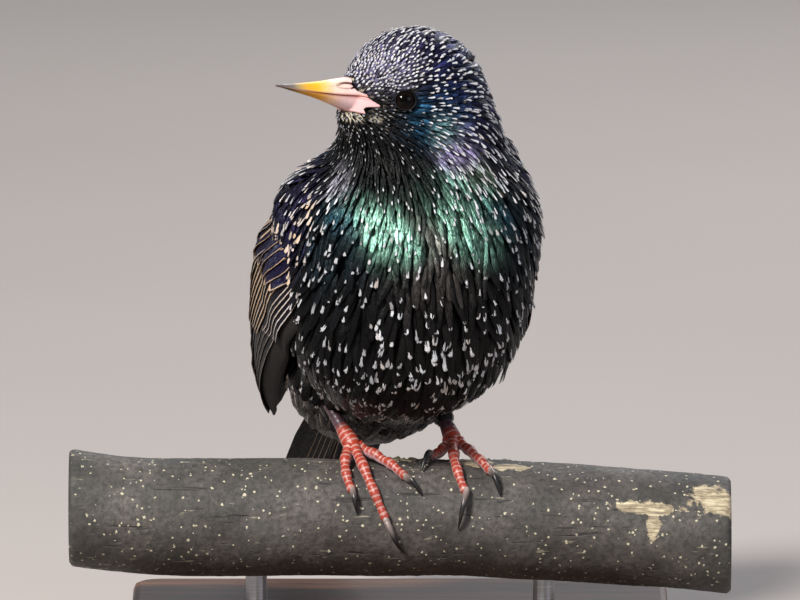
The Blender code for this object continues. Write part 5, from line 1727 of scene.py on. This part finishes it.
# peeled places: x, angle, half length and half width in degrees
PEELS = ((2.0, -4.0, 9.0, 15.0), (20.0, 8.0, 8.0, 12.0), (31.0, 16.0, 6.0, 9.0), (68.0, 61.0, 11.0, 8.0),
         (70.0, 80.0, 2.6, 13.0), (87.0, 44.0, 8.0, 20.0))


def round_from(angle, place):
    """Degrees from a place round the perch, -180 to 180."""
    return (angle - place + 180.0) % 360.0 - 180.0


def make_perch():
    """A cut branch: a bent cylinder with slow swellings, peeled places and a cut side knot.

    The radius is the branch's own, plus a few low waves in (x, angle), plus relief in the
    peeled places; the sawn ends are flat with a slight chamfer. The value sawn is the distance
    from the pith on those ends, and 0 on the bark.
    """
    rng = np.random.default_rng(7)
    rows, around = 250, 150
    turn = circle(around)
    x = np.repeat(np.linspace(-PERCH_HALF_LENGTH, PERCH_HALF_LENGTH, rows)[:, None], around, 1)
    angle = np.degrees(turn)[None, :] * np.ones((rows, 1))
    r = np.full(x.shape, PERCH_RADIUS)
    for k in range(1, 8):
        p = rng.random(2) * 6.28
        r += 0.16 / k**0.5 * np.sin(k * turn[None] + p[0]) * np.sin(0.035 * k * x + p[1])
    peel = np.zeros(x.shape)
    for px, pa, wx, wa in PEELS:
        peel = np.maximum(peel, np.exp(-((x - px) / wx) ** 2 - (round_from(angle, pa) / wa) ** 2))
    for _ in range(60):
        p = rng.random(3)
        wave = np.sin(x * (0.3 + 1.6 * p[0]) + p[1] * 6.28)
        wave = wave * np.sin(turn * round(3 + 22 * p[2]) + p[0] * 6.28)
        r += (0.02 + 0.10 * peel) * wave * 0.35
    # a cut limb's stub low on the front; elsewhere the bark keeps its measured height for the feet
    stub = STUB_HEIGHT * np.exp(-(((x + 38.0) / 8.5) ** 2 + (round_from(angle, 118.0) / 30.0) ** 2) ** 2)
    r = np.minimum(r + stub, PERCH_RADIUS + 0.25 + stub)
    # ragged flakes of bark stand up just behind the top, clear of the toes
    flake = np.exp(-((round_from(angle, -15.0) / 8.0) ** 2))
    flake *= np.exp(-((x - 1.0) / 8.0) ** 4) + np.exp(-((x - 25.0) / 7.0) ** 4)
    tatter = np.sin(0.9 * x + 0.05 * angle) + 0.6 * np.sin(2.3 * x + 1.0)
    tatter = tatter + 0.35 * np.sin(5.1 * x + 0.11 * angle)
    r += 0.75 * flake * np.clip(np.abs(tatter) - 0.25, 0.0, 1.1)
    peel = np.maximum(peel, 0.95 * flake)
    r = r - (1.0 - np.clip((PERCH_HALF_LENGTH - np.abs(x)) / CHAMFER, 0.0, 1.0)) ** 2
    rings = np.stack([x, -r * np.sin(turn), perch_centre(x) + r * np.cos(turn)], -1)
    shares = np.linspace(0.98, 0.03, CAP_ROWS)
    caps = []
    for end, row in ((-1.0, rings[0]), (1.0, rings[-1])):
        centre = on_perch(end * PERCH_HALF_LENGTH, 0.0, -PERCH_RADIUS)
        caps.append(centre + shares[:, None, None] * (row - centre))
    rings = np.concatenate([caps[0][::-1], rings, caps[1]])
    sawn = np.concatenate([shares[::-1], np.zeros(rows), shares])[:, None] * np.full(around, PERCH_RADIUS)
    peel = np.pad(peel, ((CAP_ROWS, CAP_ROWS), (0, 0)))
    return tube_piece("perch_bark", rings, material("bark"), flip=True, peel=peel, sawn=sawn)


# ---------------------------------------------------------------- stage
LIGHTS_AIM = (0.0, -0.02, 0.12)
CAMERA_AIM = 0.0980
CAMERA_AWAY = 5.0
CAMERA_LIFT = 8.0
CAMERA_LENS = 810.0
FLOOR_RADII = (0.02, 0.5, 1.5, 4.0, 12.0, 40.0)
FLOOR_THICK = 20.0


def look_at(obj, target):
    """Turns a light or the camera to face a point."""
    obj.rotation_euler = (Vector(target) - obj.location).to_track_quat("-Z", "Y").to_euler()


def add_light(name, place, size, power, colour):
    """A round soft light that faces the bird."""
    data = bpy.data.lights.new(name, "AREA")
    data.shape, data.size, data.energy, data.color = "DISK", size, power, colour
    obj = new_object(name, data)
    obj.location = place
    look_at(obj, LIGHTS_AIM)


def make_stage(stage):
    """Pale seamless floor, one soft key from the upper left, weak fills, and the camera.

    The floor is a thin disc: its face in rings, and its underside.
    """
    turn, radii = circle(96), np.array(FLOOR_RADII)[:, None] / MM
    x, y = radii * np.cos(turn), radii * np.sin(turn) - PERCH_BACK
    rings = np.stack(np.broadcast_arrays(x, y, -PERCH_TOP), -1)
    floor = tube_piece("floor", np.concatenate([rings, rings[::-1] - FLOOR_THICK * UP]), material("floor"))
    scene = bpy.context.scene
    scene.world = bpy.data.worlds.new("studio")
    scene.world.use_nodes = True
    background = scene.world.node_tree.nodes["Background"]
    background.inputs["Color"].default_value = rgba("#c9cdd6")
    background.inputs["Strength"].default_value = stage.ambient
    add_light("key", (-0.75, -1.15, 1.25), 0.38, stage.key_power, (1.0, 0.97, 0.92))
    add_light("fill_right", (1.5, -1.2, 0.8), 1.2, 0.16 * stage.key_power, (0.86, 0.91, 1.0))
    add_light("rim_back", (0.5, 1.3, 1.1), 0.8, 0.22 * stage.key_power, (0.95, 0.97, 1.0))
    data = bpy.data.cameras.new("camera")
    data.lens, data.sensor_width, data.clip_start, data.clip_end = CAMERA_LENS, 36.0, 0.1, 100.0
    camera = new_object("camera", data)
    target = Vector((0.0, PERCH_BACK * MM, CAMERA_AIM))
    lift = math.radians(CAMERA_LIFT)
    camera.location = target + CAMERA_AWAY * Vector((0.0, -math.cos(lift), math.sin(lift)))
    look_at(camera, target)
    scene.camera = camera
    scene.view_settings.view_transform, scene.view_settings.look = "Standard", "None"


# ---------------------------------------------------------------- add-on
class StarlingSettings(bpy.types.PropertyGroup):
    """Sizes of the plumage."""

    seed: IntProperty(name="Seed", description="Start of the random draws", default=11, min=0)
    feather_scale: FloatProperty(
        name="Feather spacing", description="Spacing of contour feathers against the starling's own",
        default=1.0, min=0.8, max=1.5, subtype="FACTOR")
    ragged: FloatProperty(
        name="Ragged edge", description="Depth of the fringe at a feather's end, in feather widths",
        default=0.16, min=0.0, max=0.5, subtype="FACTOR")


class StarlingStage(bpy.types.PropertyGroup):
    """Light of the stage."""

    key_power: FloatProperty(
        name="Key light", description="Power of the main light", default=56.0, min=0.0, unit="POWER")
    ambient: FloatProperty(
        name="Ambient light", description="Strength of the surrounding light", default=0.50, min=0.0)


def settled_on(piece, slot_name, *nodes):
    """Attaches a piece to the root body and hides the imported nodes that it stands for; slot_name is not
    used.
    """
    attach(piece, "root")
    if nodes:
        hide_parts(*nodes)


class STARLING_OT_coat(bpy.types.Operator):
    """Make the skin and the contour feathers over it"""

    bl_idname = "starling.coat"
    bl_label = "Skin and contour feathers"

    def execute(self, context):
        settings = context.scene.starling
        skin, grid = make_skin()
        pieces, marks, reach = coat_pieces(settings, material("plumage"))
        # the skin has the same pale marks as the coat over it
        points = grid.reshape(-1, 3)
        pale = np.zeros(len(skin.data.vertices))
        pale[:len(points)] = gap_to(points, marks, reach) < 0.9
        set_value(skin, "pale", pale)
        flesh = ["head", "neck", "trunk"]
        for side in ("left", "right"):
            flesh += ["thigh_" + side, "tarsus_" + side, "foot_" + side]
            flesh += ["toe_%s_%d" % (side, k) for k in (1, 2, 3, 4)]
        settled_on(skin, "plumage", *flesh)
        for piece in pieces:
            settled_on(piece, "plumage")
        return {"FINISHED"}


class STARLING_OT_wings(bpy.types.Operator):
    """Make both folded wings"""

    bl_idname = "starling.wings"
    bl_label = "Wings"

    def execute(self, context):
        for name, side in (("left", 1.0), ("right", -1.0)):
            shell, flight = make_wing(side, context.scene.starling)
            settled_on(shell, "wing_plumage", "wing_" + name)
            settled_on(flight, "wing_plumage")
        return {"FINISHED"}


class STARLING_OT_tail(bpy.types.Operator):
    """Make the tail feathers"""

    bl_idname = "starling.tail"
    bl_label = "Tail"

    def execute(self, context):
        settled_on(make_tail(context.scene.starling), "wing_plumage", "tail")
        return {"FINISHED"}


class STARLING_OT_head_parts(bpy.types.Operator):
    """Make the bill and the eyes"""

    bl_idname = "starling.head_parts"
    bl_label = "Bill and eyes"

    def execute(self, context):
        for piece, node in zip(make_bill(), ("bill_upper", "bill_lower")):
            settled_on(piece, "bill_horn", node)
        for piece, node in zip(make_eyes(), ("eye_left", "eye_right")):
            settled_on(piece, "eye", node)
        return {"FINISHED"}


class STARLING_OT_claws(bpy.types.Operator):
    """Make the claws"""

    bl_idname = "starling.claws"
    bl_label = "Claws"

    def execute(self, context):
        for piece, node in make_claws():
            settled_on(piece, "claw_horn", node)
        return {"FINISHED"}


class STARLING_OT_perch(bpy.types.Operator):
    """Make the perch and finish the stand"""

    bl_idname = "starling.perch"
    bl_label = "Perch and stand"

    def execute(self, context):
        settled_on(make_perch(), "bark", "perch")
        finishes = {"stand_base": "wood", "stand_rod_left": "steel", "stand_rod_right": "steel"}
        for node, finish in finishes.items():
            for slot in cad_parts[node].material_slots:
                slot.material = material(finish)
        return {"FINISHED"}


class STARLING_OT_stage(bpy.types.Operator):
    """Make the floor, the lights and the camera"""

    bl_idname = "starling.stage"
    bl_label = "Stage"

    def execute(self, context):
        make_stage(context.scene.starling_stage)
        return {"FINISHED"}


OPERATORS = (STARLING_OT_coat, STARLING_OT_wings, STARLING_OT_tail, STARLING_OT_head_parts,
             STARLING_OT_claws, STARLING_OT_perch, STARLING_OT_stage)


class STARLING_PT_panel(bpy.types.Panel):
    """Sizes, light and the steps that build the bird"""

    bl_label = "Starling"
    bl_idname = "STARLING_PT_panel"
    bl_space_type = "VIEW_3D"
    bl_region_type = "UI"
    bl_category = "Starling"

    def draw(self, context):
        for group in (context.scene.starling, context.scene.starling_stage):
            for name in group.__annotations__:
                self.layout.prop(group, name)
        for operator in OPERATORS:
            self.layout.operator(operator.bl_idname)


CLASSES = (StarlingSettings, StarlingStage, *OPERATORS, STARLING_PT_panel)


def register():
    for cls in CLASSES:
        bpy.utils.register_class(cls)
    bpy.types.Scene.starling = PointerProperty(type=StarlingSettings)
    bpy.types.Scene.starling_stage = PointerProperty(type=StarlingStage)


def unregister():
    del bpy.types.Scene.starling
    del bpy.types.Scene.starling_stage
    for cls in reversed(CLASSES):
        bpy.utils.unregister_class(cls)


def main():
    register()
    for step in ("coat", "wings", "tail", "head_parts", "claws", "perch", "stage"):
        getattr(bpy.ops.starling, step)()


if __name__ == "__main__":
    main()
